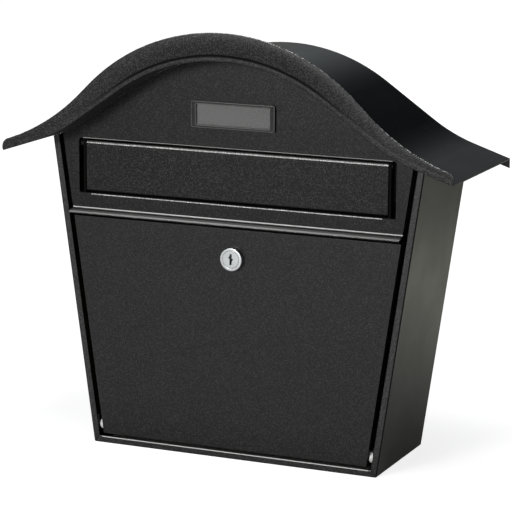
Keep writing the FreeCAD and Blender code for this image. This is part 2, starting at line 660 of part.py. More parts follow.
def keyway():
    """Stepped upright slot for the key's profile."""
    front = RIM_Y - BEZEL_PROUD
    half = KEYWAY_HEIGHT / 2
    side = KEYWAY_WIDTH / 2
    third = KEYWAY_HEIGHT / 6
    points = [(-side, -half), (side, -half), (side, -third), (side + KEYWAY_STEP, 0.0), (side, third),
              (side, half), (-side, half), (-side, third + KEYWAY_STEP),
              (-side - KEYWAY_STEP, third), (-side, third - KEYWAY_STEP)]
    return prism_y([(x, LOCK_HEIGHT + z) for x, z in points], front - SHEET, front + KEYWAY_DEPTH)


def lock_nut():
    """Hexagon nut that clamps the lock behind the door."""
    reach = NUT_FLATS / 2 / math.cos(math.pi / 6)
    points = []
    for corner in range(6):
        angle = math.pi / 6 + corner * math.pi / 3
        points.append((reach * math.cos(angle), LOCK_HEIGHT + reach * math.sin(angle)))
    back = RIM_Y + SHEET
    nut = prism_y(points, back, back + NUT_THICKNESS)
    return nut.cut(rod_y(back - SHEET, back + 2 * NUT_THICKNESS, 0, LOCK_HEIGHT, BARREL_RADIUS + BARREL_FIT))


def lock_cam():
    """Cam that points aside when the lock is open and stands behind the slot's lip when it is shut."""
    reach = SLOT_BOTTOM - LIP_DROP + CAM_CATCH - LOCK_HEIGHT
    half = CAM_WIDTH / 2
    back = CAM_Y + CAM_THICKNESS
    hub = rod_y(CAM_Y, back, 0, LOCK_HEIGHT, half)
    arm = box(0, reach - half, CAM_Y, back, LOCK_HEIGHT - half, LOCK_HEIGHT + half)
    tip = rod_y(CAM_Y, back, reach - half, LOCK_HEIGHT, half)
    hole = PLUG_SQUARE / 2 + PLUG_FIT
    square = box(-hole, hole, CAM_Y - SHEET, back + SHEET, LOCK_HEIGHT - hole, LOCK_HEIGHT + hole)
    return joined(hub, arm, tip).cut(square)


def cam_washer():
    """Washer under the cam's screw."""
    start = CAM_Y + CAM_THICKNESS
    washer = rod_y(start, start + WASHER_THICKNESS, 0, LOCK_HEIGHT, WASHER_RADIUS)
    return washer.cut(rod_y(start - SHEET, start + 2 * SHEET, 0, LOCK_HEIGHT, SCREW_RADIUS + SCREW_FIT))


def cam_screw():
    """Screw that holds the cam on the plug, with a cross recess."""
    seat = CAM_Y + CAM_THICKNESS + WASHER_THICKNESS
    end = seat + SCREW_HEAD
    shank = rod_y(CAM_Y + CAM_THICKNESS - SCREW_LENGTH, seat, 0, LOCK_HEIGHT, SCREW_RADIUS)
    head = rod_y(seat, end, 0, LOCK_HEIGHT, SCREW_HEAD_RADIUS)
    rim = [e for e in head.Edges if abs(e.CenterOfMass.y - end) < SEAT]
    head = head.makeChamfer(SCREW_HEAD / 3, rim)
    reach = SCREW_HEAD_RADIUS / 2
    blade = SCREW_HEAD / 6
    depth = end - SCREW_HEAD / 2
    slots = [box(-reach, reach, depth, end + SHEET, LOCK_HEIGHT - blade, LOCK_HEIGHT + blade),
             box(-blade, blade, depth, end + SHEET, LOCK_HEIGHT - reach, LOCK_HEIGHT + reach)]
    return joined(shank, head).cut(slots[0]).cut(slots[1])


def name_slab(width, height, y0, y1):
    """Upright slab centred on the name plate."""
    return box(-width / 2, width / 2, y0, y1, NAME_CENTRE - height / 2, NAME_CENTRE + height / 2)


def nameplate_frame():
    """Frame with rounded corners, a bevelled front edge and a rebate for the window and card."""
    front = RIM_Y - NAME_PROUD
    frame = name_slab(NAME_WIDTH, NAME_HEIGHT, front, RIM_Y)
    upright = [e for e in frame.Edges if abs(e.Length - NAME_PROUD) < SEAT]
    frame = frame.makeFillet(NAME_CORNER, upright)
    rim = [e for e in frame.Edges if abs(e.CenterOfMass.y - front) < SEAT]
    frame = frame.makeChamfer(NAME_BEVEL, rim)
    window_width = NAME_WIDTH - 2 * NAME_BORDER_X
    window_height = NAME_HEIGHT - 2 * NAME_BORDER_Z
    frame = frame.cut(name_slab(window_width, window_height, front - SHEET, RIM_Y + SHEET))
    rebate = name_slab(window_width + 2 * NAME_REBATE, window_height + 2 * NAME_REBATE,
                       RIM_Y - CARD_THICKNESS - WINDOW_THICKNESS, RIM_Y + SHEET)
    return frame.cut(rebate)


def name_insert(y0, y1):
    """Flat insert that fits the frame's rebate."""
    width = NAME_WIDTH - 2 * NAME_BORDER_X + 2 * NAME_REBATE - 2 * CARD_FIT
    height = NAME_HEIGHT - 2 * NAME_BORDER_Z + 2 * NAME_REBATE - 2 * CARD_FIT
    return name_slab(width, height, y0, y1)


def nameplate_window():
    """Clear window behind the frame."""
    return name_insert(RIM_Y - CARD_THICKNESS - WINDOW_THICKNESS, RIM_Y - CARD_THICKNESS)


def name_card():
    """Bare card behind the window."""
    return name_insert(RIM_Y - CARD_THICKNESS, RIM_Y)


def sub_parts():
    """Every piece of the letter box by its name."""
    pieces = {
        "housing_wrap": housing_wrap(),
        "back_panel": back_panel(),
        "roof_sheet": roof_sheet(),
        "roof_fascia": roof_fascia(),
        "front_plate": front_plate(),
        "flap": flap(),
        "flap_rod": flap_rod(),
        "flap_rod_cap": flap_rod_cap(),
        "door": door(),
        "lock_body": lock_body(),
        "lock_plug": lock_plug(),
        "lock_nut": lock_nut(),
        "lock_cam": lock_cam(),
        "cam_washer": cam_washer(),
        "cam_screw": cam_screw(),
        "nameplate_frame": nameplate_frame(),
        "nameplate_window": nameplate_window(),
        "name_card": name_card(),
    }
    for name, make in (("hinge_bracket", hinge_bracket), ("hinge_bush", hinge_bush), ("hinge_pin", hinge_pin)):
        pieces[name + "_right"] = make()
        pieces[name + "_left"] = mirrored(make())
    return pieces


os.makedirs("parts", exist_ok=True)
for name, shape in sub_parts().items():
    shape.exportStep(os.path.join("parts", name + ".step"))
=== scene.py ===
import math

import bmesh
import bpy
import numpy as np
from bpy.props import FloatProperty, FloatVectorProperty, IntProperty, PointerProperty
from mathutils import Matrix, Vector


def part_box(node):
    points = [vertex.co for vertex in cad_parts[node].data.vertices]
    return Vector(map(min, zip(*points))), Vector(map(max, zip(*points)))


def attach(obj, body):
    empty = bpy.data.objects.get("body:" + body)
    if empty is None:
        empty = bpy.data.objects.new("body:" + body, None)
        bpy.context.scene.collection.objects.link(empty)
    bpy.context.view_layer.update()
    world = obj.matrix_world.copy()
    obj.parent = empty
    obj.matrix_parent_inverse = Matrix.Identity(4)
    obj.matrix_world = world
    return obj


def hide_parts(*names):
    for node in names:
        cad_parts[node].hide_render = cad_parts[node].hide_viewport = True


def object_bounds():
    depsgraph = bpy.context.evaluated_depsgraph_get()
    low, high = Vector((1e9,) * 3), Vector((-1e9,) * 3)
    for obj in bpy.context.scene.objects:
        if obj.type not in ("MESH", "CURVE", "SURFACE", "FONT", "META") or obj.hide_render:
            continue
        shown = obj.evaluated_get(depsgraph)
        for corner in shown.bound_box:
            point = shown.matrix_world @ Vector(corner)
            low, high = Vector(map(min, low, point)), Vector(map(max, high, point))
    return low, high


bl_info = {
    "name": "Letter Box Looks",
    "version": (1, 0, 0),
    "blender": (4, 5, 0),
    "location": "View3D > Sidebar > Letter Box",
    "description": "Rounded trim, powder coat and studio stage for a sheet-steel letter box",
    "category": "Object",
}

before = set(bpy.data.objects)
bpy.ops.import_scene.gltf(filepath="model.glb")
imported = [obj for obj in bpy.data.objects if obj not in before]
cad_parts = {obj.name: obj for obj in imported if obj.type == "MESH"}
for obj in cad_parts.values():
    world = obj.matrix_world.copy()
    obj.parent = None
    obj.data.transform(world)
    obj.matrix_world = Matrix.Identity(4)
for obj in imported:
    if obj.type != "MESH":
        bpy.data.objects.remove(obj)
CAD_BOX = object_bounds()
WHITE = (1.0, 1.0, 1.0)

ROOF_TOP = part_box("roof_sheet")[1].z
FLAP_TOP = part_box("flap")[1].z
FRONT_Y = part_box("door")[0].y
FASCIA_LOW, FASCIA_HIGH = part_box("roof_fascia")
LOCK_LOW, LOCK_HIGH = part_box("lock_body")
NAME_LOW, NAME_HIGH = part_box("nameplate_frame")
WINDOW_LOW, WINDOW_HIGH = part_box("nameplate_window")
CARD_LOW, CARD_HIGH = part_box("name_card")
PLATE_LOW, PLATE_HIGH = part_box("front_plate")
BUSH_LOW, BUSH_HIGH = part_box("hinge_bush_right")

# Meshes: distance at which points are merged, angle of a sharp edge, and steps on the turned pieces
MERGE_DISTANCE = 1e-7
SHARP_ANGLE = math.radians(38)
LOCK_STEPS = 96
BUSH_STEPS = 64
DOME_STEPS = 9

# Section of the fascia: points on hem, groove and each rounded edge, and how dark the painted shade turns the
# hem's points
HEM_STEPS = 15
GROOVE_STEPS = 8
EDGE_STEPS = 5
HEM_POWER = 0.6
HEM_SHADE = (0.15, 0.3, 0.5, 0.75, 0.9)
UNDER_SHADE = (0.9, 0.9, 0.8, 0.6, 0.3)

# Shares of the way from crown to tip where the hem fades and the crest's painted highlight grows weaker, and
# what is left there
HEM_FADE_END = 0.74
HEM_FADE_RUN = 0.44
HEM_LEFT = 0.12
STEEP_SHARE = 0.54
STEEP_REACH = 0.10
STEEP_HIGHLIGHT = 0.2
TIP_BARE = 0.03

# Least radius that an angle is worked out with, for a tip that isn't rounded
TINY = 1e-9

# How strong the painted highlight is on each point of the name plate's rounded edges, from the outside
# inwards
NAME_HIGHLIGHT = (0.0, 0.5, 1.0, 1.0, 0.5)

# Shading: sizes in metres, spreads and amounts of roughness, and what bends and smooth walls keep
FINE_EDGE = 0.0003
PIT_DEPTH = 0.000008
MOULD_GRAIN = 0.00002
CARD_GRAIN = 0.000005
PATCH_SIDE = 0.0003
PATCH_SOFT = 0.0005
COAT_SPREAD = 0.02
CLOUD_SPREAD = 0.06
SLIGHTLY_DULL = 0.2
DULL = 0.6
HIDDEN_DULL = 0.75
BEND_GLOSS = 0.6
BEND_RELIEF = 0.3
SMOOTH_FLECK = 0.01

# Sideways parts of a normal at which an edge isn't level any more, and at which it is
LEVEL_NORMAL = (0.30, 0.10)

# Places of the colour sockets on a Mix node
MIX_FIRST, MIX_SECOND, MIX_RESULT = 6, 7, 2

# Softboxes: name, place, width, height and tint
SOFTBOXES = (
    ("key_softbox", (-0.55, -1.95, 0.72), 0.5, 0.5, (1.0, 0.99, 0.98)),
    ("fill_softbox", (0.25, -2.20, 0.45), 1.6, 1.0, WHITE),
    ("top_softbox", (0.15, -0.35, 1.75), 0.8, 0.5, WHITE),
)

# Places on the floor between which reflections go from shaded to lit, and how lit it stays on the far left
AHEAD_DEPTH = (-0.06, -0.16)
AHEAD_RIGHT = (0.36, 0.16)
AHEAD_LEFT = (-0.80, -0.25)
AHEAD_FAR_LEFT = 0.50
BESIDE_REACH = (0.40, 0.65)
BESIDE_DEPTH = (0.25, 0.05)
BEYOND_DEPTH = (1.25, 1.55, 2.10, 2.60)

# Floor and room: where the floor turns white and warm, its specks, its inner ring, and the room's ramp
WHITE_REACH = (0.3, 1.5)
WARM_DEPTH = (-0.1, 0.3)
FLOOR_SPECKS = 40.0
SPECK_SHADE = 0.97
FLOOR_RING = 1.0
ROOM_RAMP = (0.04, -0.31)

# Camera: width of its sensor in millimetres, and the far end of its view
IMAGE_SENSOR = 36.0
CLIP_END = 50.0


def length(name, description, default):
    """Property for a length in metres."""
    return FloatProperty(name=name, description=description, default=default, unit="LENGTH", precision=5)


def angle(name, description, degrees):
    """Property for an angle that is written in degrees."""
    return FloatProperty(name=name, description=description, default=math.radians(degrees), unit="ROTATION")


def colour(name, description, default):
    """Property for a linear colour."""
    return FloatVectorProperty(name=name, description=description, default=default, subtype="COLOR",
                               size=3, min=0.0, max=1.0)


def amount(name, description, default):
    """Property for a plain number."""
    return FloatProperty(name=name, description=description, default=default, precision=4)


def spot(name, description, default):
    """Property for a place in metres."""
    return FloatVectorProperty(name=name, description=description, default=default, size=3,
                               unit="LENGTH", subtype="XYZ")


class LetterBoxSizes(bpy.types.PropertyGroup):
    """Sizes of the rounded pieces, and places of the lines where highlights and shade are painted on the
    coat.
    """

    sheet: length("Sheet", "Thickness of the roof sheet", 0.001)
    crown_radius: length("Crown radius", "Radius of the roof's crown", 0.1663)
    flank_angle: angle("Flank angle", "Slope of the roof's straight flank", 34.7)
    flank_run: length("Flank run", "Length of the roof's straight flank", 0.0551)
    sweep_radius: length("Sweep radius", "Radius of the roof's reverse sweep", 0.1454)
    eave_angle: angle("Eave angle", "Slope of the roof's straight eave", 18.4)
    crest_radius: length("Crest radius", "Radius of the fascia's upper edge at the crown", 0.1777)
    crest_flank_angle: angle("Crest flank angle", "Slope of the upper edge's straight flank", 44.3)
    crest_flank_run: length("Crest flank run", "Length of the upper edge's straight flank", 0.0134)
    crest_sweep_radius: length("Crest sweep radius", "Radius of the upper edge's reverse sweep", 0.188)
    crest_eave_angle: angle("Crest eave angle", "Slope of the upper edge at the tips", 20.0)
    tip_round: length("Tip round", "Radius of the fascia's upper corners", 0.0072)
    tip_under: length("Tip under", "Radius of the fascia's lower corners", 0.0026)
    hem_height: length("Hem height", "Height of the rolled hem", 0.0036)
    hem_proud: length("Hem proud", "How far the hem stands in front of the fascia", 0.0009)
    hem_bulge: length("Hem bulge", "How far the hem bulges", 0.0002)
    groove_width: length("Groove width", "Width of the groove over the hem", 0.0026)
    groove_depth: length("Groove depth", "Depth of the groove over the hem", 0.0006)
    edge_round: length("Edge round", "Radius of the fascia's upper edge", 0.00055)
    bezel_round: length("Bezel round", "Radius of the lock bezel's front edge", 0.0008)
    bezel_proud: length("Bezel proud", "How far the bezel stands in front of the door", 0.005)
    bezel_chamfer: length("Bezel chamfer", "Chamfer of the bore round the plug's face", 0.0003)
    barrel_radius: length("Barrel radius", "Outer radius of the lock's barrel", 0.008)
    face_radius: length("Face bore", "Radius of the bore round the plug's face", 0.00765)
    face_depth: length("Face depth", "Depth of the bore round the plug's face", 0.0026)
    plug_radius: length("Plug bore", "Radius of the bore round the plug's shank", 0.00555)
    ear_inner: length("Ear inside", "Distance of the hinge ears' inner sides from the middle", 0.143)
    ear_outer: length("Ear outside", "Distance of the hinge ears' outer sides from the middle", 0.1448)
    slot_half: length("Slot half", "Half the letter slot's width", 0.1495)
    slot_low: length("Slot bottom", "Height of the letter slot's lower edge", 0.228)
    slot_high: length("Slot top", "Height of the letter slot's upper edge", 0.2766)
    # The brow is a painted highlight along the slot's upper edge.
    brow_end: length("Brow end", "How far the rubbed brow stops short of the slot's ends", 0.004)
    ledge_fold: length("Ledge fold", "Height of the fold between plate and ledge", 0.214)
    rim_width: length("Rim width", "Width of the housing's front rim", 0.006)
    # The sill is a painted highlight along the rim's lower edge.
    sill_half: length("Sill half", "Half the length of the rim's polished lower edge", 0.128)
    grain_end: length("Grain end", "Depth behind the front where the walls' grain starts to fade", 0.0008)
    smooth_start: length("Smooth start", "Depth behind the front from which the walls are smooth", 0.0030)
    name_corner: length("Name plate corner", "Corner radius of the name plate's frame", 0.0016)
    name_round: length("Name plate edge", "Rounding of the frame's front edges", 0.0007)
    name_border_x: length("Name plate side border", "Width of the frame beside the window", 0.0048)
    name_border_z: length("Name plate border", "Width of the frame over and under the window", 0.0026)
    name_flat: length("Name plate flat", "Margin on the flat front beside its rounded edges", 0.000105)
    name_gap: length("Window gap", "Gap between the window and its rebate", 0.0002)
    name_inner_corner: length("Window corner", "Corner radius of the frame's opening", 0.0004)
    name_least_corner: length("Least corner", "Least corner radius on the name plate's frame", 0.0002)
    card_corner: length("Card corner", "Corner radius of the card", 0.0006)
    card_bevel: length("Card bevel", "Bevel of the card's front edge, and its gap to the window", 0.0001)
    bush_collar: length("Bush collar", "Length of the bush's collar in the door's gap", 0.0039)
    bush_sleeve_radius: length("Bush sleeve", "Radius of the sleeve in the bracket", 0.0032)
    bush_bore: length("Bush bore", "Radius of the bore for the hinge pin", 0.00205)
    bush_edge: length("Bush edge", "Straight edge of the collar before its dome", 0.0005)


class LetterBoxFinishes(bpy.types.PropertyGroup):
    """Colours and grain of the finishes."""

    coat_dark: colour("Coat", "Colour of the coat between its pebbles", (0.0065, 0.0065, 0.0068))
    coat_light: colour("Coat flecks", "Colour of the coat on its pebbles", (0.125, 0.125, 0.127))
    # Paler sharp edges: partly wear, partly a painted highlight.
    coat_edge: colour("Coat edges", "Colour of the coat along sharp edges", (0.060, 0.060, 0.0595))
    # Painted highlight along the ledge's fold, the rim's lower edge and other level edges.
    coat_level_highlight: colour("Coat on ledges", "Colour of the coat along polished level edges", (0.50, 0.50, 0.495))
    # Dimmer painted highlight along the slot's upper edge, the ledge's front edge and the rims' level edges.
    coat_dim_highlight: colour("Coat rubbed", "Colour of the coat on lightly rubbed edges", (0.36, 0.36, 0.356))
    # Painted highlight on bends that lean up.
    coat_bend_highlight: colour("Coat on bends", "Colour of the coat on polished bends", (0.80, 0.80, 0.793))
    # Dust, and a painted top light, on faces that look up.
    coat_dust_and_sheen: colour("Coat dust", "Colour of the coat where dust settles on it", (0.14, 0.14, 0.1385))
    # Painted shade: in the fascia's groove and under its hem, on faces that look down, in corners, on the
    # hinge ears and the slot's lip, and on fittings that sit in shade.
    coat_painted_shade: colour("Coat in grooves", "Colour of the coat where it is sunk", (0.0012, 0.0012, 0.0012))
    # Painted highlight in dashes along the fascia's crest.
    coat_worn: colour("Coat worn", "Colour of the coat along the fascia's crest", (0.42, 0.42, 0.415))
    roof_dark: colour("Roof coat", "Colour of the smoother coat on the roof", (0.0020, 0.0023, 0.0026))
    # Ground of the walls behind the front: its olive tint is a painted reflection.
    wall_sheen_tint: colour("Wall coat", "Colour of the smoother coat on the side walls", (0.0170, 0.0172, 0.0080))
    coat_pebbles: amount("Coat pebbles", "Pebbles of the coat in one metre", 1080.0)
    pebble_height: length("Pebble height", "Height of the coat's pebbles", 0.00009)
    edge_width: length("Edge width", "Width of the rounding that edges show", 0.00055)
    nickel: colour("Nickel", "Colour of the lock's plating", (0.395, 0.41, 0.415))
    nickel_shade: colour("Nickel shade", "Colour of the plating in its fine pits", (0.34, 0.35, 0.354))
    plug: colour("Plug", "Colour of the plug's face", (0.335, 0.348, 0.353))
    zinc: colour("Zinc", "Colour of the zinc on the hidden fittings", (0.50, 0.52, 0.53))
    zinc_shade: colour("Zinc shade", "Darker patches of the zinc", (0.30, 0.31, 0.32))
    bush: colour("Bush", "Colour of the moulded bushes", (0.60, 0.60, 0.59))
    bush_shade: colour("Bush shade", "Darker clouds in the moulded bushes", (0.46, 0.46, 0.455))
    plate_dark: colour("Name frame", "Colour of the name plate's frame", (0.0050, 0.0050, 0.0053))
    plate_shade: colour("Name frame shade", "Colour of the frame's fine mould grain", (0.016, 0.016, 0.0165))
    # Painted highlight along the frame's rounded edges.
    plate_edge_highlight: colour("Name frame edges", "Colour of the frame's rubbed edges", (0.10, 0.10, 0.099))
    card: colour("Card", "Colour of the bare card", (0.066, 0.0657, 0.065))
    card_shade: colour("Card shade", "Colour of the card's fibres", (0.056, 0.0557, 0.055))
    window: colour("Window", "Tint of the clear window", (0.94, 0.95, 0.95))
    window_shade: colour("Window shade", "Tint of the window's rubbing marks", (0.86, 0.88, 0.88))


class LetterBoxStage(bpy.types.PropertyGroup):
    """Camera, lamps and floor."""

    camera_place: spot("Camera", "Place of the camera", (0.8496, -1.9438, 0.61405))
    camera_azimuth: angle("Azimuth", "How far the camera stands to the right", 23.55)
    camera_elevation: angle("Elevation", "How far the camera looks down", 11.70)
    camera_roll: angle("Roll", "Turn of the camera about its own line of sight", 0.41)
    camera_lens: amount("Lens", "Focal length on a 36 mm sensor", 172.35)
    key_power: amount("Key lamp", "Watts of the softbox at the upper left", 30.5)
    fill_power: amount("Fill lamp", "Watts of the wide softbox in front", 11.0)
    top_power: amount("Top lamp", "Watts of the softbox overhead", 20.0)
    room_bright: amount("Room left", "Strength of the room's light from the left", 0.31)
    room_dark: amount("Room right", "Strength of the room's light from the right", 0.004)
    room_tint: colour("Room tint", "Colour of the room's light", (0.88, 0.95, 1.0))
    floor_colour: colour("Floor", "Colour of the floor", (0.32, 0.32, 0.32))
    floor_near: amount("Floor near", "Share of white that the floor shows by itself close to the box", 0.84)
    floor_warm: colour("Floor behind", "Tint of the floor behind the box in reflections", (0.92, 0.94, 0.78))
    floor_shade: amount("Floor shade", "Share of white that the floor behind shows in reflections", 0.15)
    floor_beside: amount("Floor beside", "Brightness of the floor beside and far behind in reflections", 0.7)
    pool_place: spot("Pool place", "Middle of the pool of light on the floor behind", (0.37, 0.54, 0.0))
    pool_inner: length("Pool inside", "Radius within which the pool is brightest", 0.05)
    pool_outer: length("Pool outside", "Radius beyond which the floor is shaded", 0.40)
    pool_bright: amount("Pool brightness", "Brightness of the pool of light in reflections", 0.80)
    floor_radius: length("Floor radius", "Radius of the floor", 6.0)
    wall_height: length("Backdrop height", "Height of the backdrop round the floor", 1.5)
    floor_bend: length("Backdrop bend", "Radius between the floor and the backdrop", 0.6)
    floor_steps: IntProperty(name="Floor steps", description="Steps round the floor", default=96, min=12)


# Surfaces on grids

def grid_object(name, points, close_rows, close_columns, cap_ends=False, **marks):
    """Mesh object from a grid of points.

    Quad (i, j) joins the points (i, j), (i+1, j), (i+1, j+1) and (i, j+1). A closed direction
    joins its last line to its first one. Capped ends get one face each from the first and last row.
    Points that meet are merged, which closes poles. Each mark is a grid of shares that the mesh keeps
    as an attribute of that name.
    """
    rows, columns = points.shape[:2]
    index = np.arange(rows * columns).reshape(rows, columns)
    ahead = np.roll(index, -1, axis=0)
    row_end = rows if close_rows else rows - 1
    column_end = columns if close_columns else columns - 1
    quads = np.stack([index, ahead, np.roll(ahead, -1, axis=1), np.roll(index, -1, axis=1)], axis=-1)
    faces = quads[:row_end, :column_end].reshape(-1, 4).tolist()
    if cap_ends:
        faces += [index[0].tolist(), index[-1][::-1].tolist()]
    mesh = bpy.data.meshes.new(name)
    mesh.from_pydata(points.reshape(-1, 3), [], faces)
    for mark, shares in marks.items():
        values = np.broadcast_to(shares, (rows, columns)).ravel()
        mesh.attributes.new(mark, "FLOAT", "POINT").data.foreach_set("value", values)
    shell = bmesh.new()
    shell.from_mesh(mesh)
    bmesh.ops.remove_doubles(shell, verts=shell.verts, dist=MERGE_DISTANCE)
    bmesh.ops.recalc_face_normals(shell, faces=shell.faces)
    shell.to_mesh(mesh)
    shell.free()
    mesh.polygons.foreach_set("use_smooth", np.ones(len(mesh.polygons), dtype=bool))
    mesh.set_sharp_from_angle(angle=SHARP_ANGLE)
    made = bpy.data.objects.new(name, mesh)
    bpy.context.scene.collection.objects.link(made)
    return made


def rounded_corner(centre, radius, start, end, steps=7):
    """Points of an arc: the centre plus the radius times (cos, sin) of evenly spaced degrees."""
    turn = np.radians(np.linspace(start, end, steps))
    return np.stack([centre[0] + radius * np.cos(turn), centre[1] + radius * np.sin(turn)], axis=-1)


def turned_points(profile, steps):
    """Surface of revolution: (radius, along) rows become (along, radius cos t, radius sin t) rings."""
    turn = np.linspace(0, 2 * math.pi, steps, endpoint=False)
    radius = profile[:, 0]
    along = np.broadcast_to(profile[:, 1], (steps, len(profile)))
    return np.stack([along, np.outer(np.cos(turn), radius), np.outer(np.sin(turn), radius)], axis=-1)


def bell_line(share, apex, crown, flank, run, sweep, eave, offset, tip_round):
    """Right half of a bell line at shares 0 to 1 of its length, as x and z.

    The line adds up five stretches, each counted from 0 to its own length: a crown arc, a straight
    flank, a reverse arc, a straight eave and an arc that brings the tip upright. An arc adds its
    radius times the change in (sin, cos) of the slope, and a straight adds its length along the slope.
    """
    crown_arc = crown + offset
    sweep_arc = sweep - offset
    before_eave = (crown_arc * math.sin(flank) + run * math.cos(flank)
                   + sweep_arc * (math.sin(flank) - math.sin(eave)))
    eave_run = (FASCIA_HIGH.x - tip_round * (1 - math.sin(eave)) - before_eave) / math.cos(eave)
    spans = np.array([crown_arc * flank, run, sweep_arc * (flank - eave), eave_run,
                      tip_round * (math.pi / 2 - eave)])
    starts = np.concatenate([[0.0], np.cumsum(spans)[:-1]])
    along = share * spans.sum() - starts[:, None]
    on_crown, on_flank, on_sweep, on_eave, on_tip = np.clip(along, 0.0, spans[:, None])
    slope = on_crown / crown_arc
    back = flank - on_sweep / sweep_arc
    fall = eave + on_tip / max(tip_round, TINY)
    x = (crown_arc * np.sin(slope) + on_flank * math.cos(flank)
         + sweep_arc * (math.sin(flank) - np.sin(back)) + on_eave * math.cos(eave)
         + tip_round * (np.sin(fall) - math.sin(eave)))
    z = (apex - crown + crown_arc * np.cos(slope) - on_flank * math.sin(flank)
         + sweep_arc * (math.cos(flank) - np.cos(back)) - on_eave * math.sin(eave)
         + tip_round * (np.cos(fall) - math.cos(eave)))
    return x, z


def fascia_points(sizes, columns=361):
    """Fascia as one closed section carried along the roof's front edge.

    A share t from -1 to 1 runs from tip to tip. The section starts on the roof line and ends on the crest
    line: a rolled hem that bulges as a flattened ellipse, a groove as half a sine wave, the flat face, a
    rounded upper edge and the back. Hem and groove fade towards the tips, where the roof line lifts along
    a quarter circle to round the lower corner. The marks say where a highlight is painted in dashes along the
    crest, weaker where it is steep and not at all at the tips, and where painted shade darkens hem and
    groove.
    """
    t = np.sin(np.linspace(-1, 1, columns) * math.pi / 2)
    share = np.abs(t)
    side = np.sign(t)
    low_x, low_z = bell_line(share, ROOF_TOP, sizes.crown_radius, sizes.flank_angle, sizes.flank_run,
                             sizes.sweep_radius, sizes.eave_angle, -sizes.sheet, 0.0)
    high_x, high_z = bell_line(share, FASCIA_HIGH.z, sizes.crest_radius, sizes.crest_flank_angle,
                               sizes.crest_flank_run, sizes.crest_sweep_radius, sizes.crest_eave_angle,
                               0.0, sizes.tip_round)
    corner = np.clip(sizes.tip_under - (FASCIA_HIGH.x - low_x), 0.0, sizes.tip_under)
    low_z = low_z + sizes.tip_under - np.sqrt(sizes.tip_under ** 2 - corner ** 2)
    low = np.stack([side * low_x, low_z], axis=-1)
    high = np.stack([side * high_x, high_z], axis=-1)
    reach = np.linalg.norm(high - low, axis=1)
    towards = (high - low) / reach[:, None]

    face = FASCIA_LOW.y + sizes.hem_proud
    back = FASCIA_HIGH.y
    swell = np.linspace(0.0, math.pi, HEM_STEPS)
    bulge = sizes.hem_bulge * np.sin(swell) ** HEM_POWER
    hem_up = sizes.hem_height / 2 * (1 - np.sign(np.cos(swell)) * np.abs(np.cos(swell)) ** HEM_POWER)
    dip = np.linspace(0.0, math.pi, GROOVE_STEPS + 1)[1:]
    groove_up = sizes.hem_height + sizes.groove_width * dip / math.pi
    edge = np.linspace(0.0, math.pi / 2, EDGE_STEPS)
    round_up = sizes.edge_round * (np.sin(edge) - 1)
    round_in = sizes.edge_round * (1 - np.cos(edge))

    lower = np.zeros(HEM_STEPS + GROOVE_STEPS)
    upper = np.zeros(2 * EDGE_STEPS + 1)
    from_low = np.concatenate([hem_up, groove_up, upper])
    from_high = np.concatenate([lower, round_up, round_up[::-1], [0.0]])
    rise = np.concatenate([lower, np.ones(2 * EDGE_STEPS), [0.0]])
    depth = np.concatenate([lower + face, face + round_in, back - round_in[::-1], [back]])
    pressed = np.concatenate([-bulge, sizes.groove_depth * np.sin(dip), upper])

    room = reach - 3 * sizes.edge_round
    fit = np.minimum(1.0, room / (sizes.hem_height + sizes.groove_width))
    fade = np.clip((HEM_FADE_END - share) / HEM_FADE_RUN, 0.0, 1.0)
    fade = HEM_LEFT + (1 - HEM_LEFT) * fade * fade * (3 - 2 * fade)
    up = np.outer(fit, from_low) + from_high + np.outer(reach, rise)
    flat = low[:, None, :] + towards[:, None, :] * up[:, :, None]
    y = depth + np.outer(fade, pressed)

    gentle = np.clip((np.abs(share - STEEP_SHARE) - STEEP_REACH) / STEEP_REACH, 0.0, 1.0)
    crest_highlight = (STEEP_HIGHLIGHT + (1 - STEEP_HIGHLIGHT) * gentle) * np.clip((1.0 - share) / TIP_BARE, 0.0, 1.0)
    worn = np.outer(crest_highlight, np.concatenate([lower, [0.0], np.ones(2 * EDGE_STEPS - 2), [0.0, 0.0]]))
    bright_hem = np.zeros(HEM_STEPS - len(HEM_SHADE))
    sunk = np.outer(fade, np.concatenate([bright_hem, HEM_SHADE, np.sqrt(np.sin(dip)), upper]))
    sunk = np.maximum(sunk, np.concatenate([UNDER_SHADE, np.zeros(len(depth) - len(UNDER_SHADE))]))
    return np.stack([flat[..., 0], y, flat[..., 1]], axis=-1), worn, sunk


def rectangle_points(widths, heights, corners, depths, centre, steps=6):
    """Stack of rounded rectangles in upright planes.

    Each corner is an arc of its radius about a point that lies the radius inside both sides.
    The first parameter goes from one rectangle to the next and the second one round it.
    """
    quarter = np.linspace(0.0, math.pi / 2, steps)
    turn = (np.arange(4)[:, None] * math.pi / 2 + quarter).ravel()
    middle = np.repeat(np.arange(4) * math.pi / 2 + math.pi / 4, steps)
    widths, heights, corners = (np.asarray(v)[:, None] for v in (widths, heights, corners))
    x = centre.x + np.sign(np.cos(middle)) * (widths / 2 - corners) + corners * np.cos(turn)
    z = centre.z + np.sign(np.sin(middle)) * (heights / 2 - corners) + corners * np.sin(turn)
    y = np.broadcast_to(np.asarray(depths)[:, None], x.shape)
    return np.stack([x, y, z], axis=-1)


# Nodes

def add_node(tree, kind, links=None, **values):
    """New node; values set its properties or inputs by name, and links join outputs to its inputs."""
    node = tree.nodes.new(kind)
    for name, value in values.items():
        if hasattr(node, name):
            setattr(node, name, value)
        else:
            node.inputs[name.replace("_", " ").title()].default_value = value
    for socket, source in (links or {}).items():
        tree.links.new(source, node.inputs[socket])
    return node


def feed(tree, socket, value):
    """Joins an output to an input, or sets the input to a number or a linear colour."""
    if isinstance(value, bpy.types.NodeSocket):
        tree.links.new(value, socket)
    elif socket.type == "RGBA":
        socket.default_value = (*value, 1.0)
    else:
        socket.default_value = value


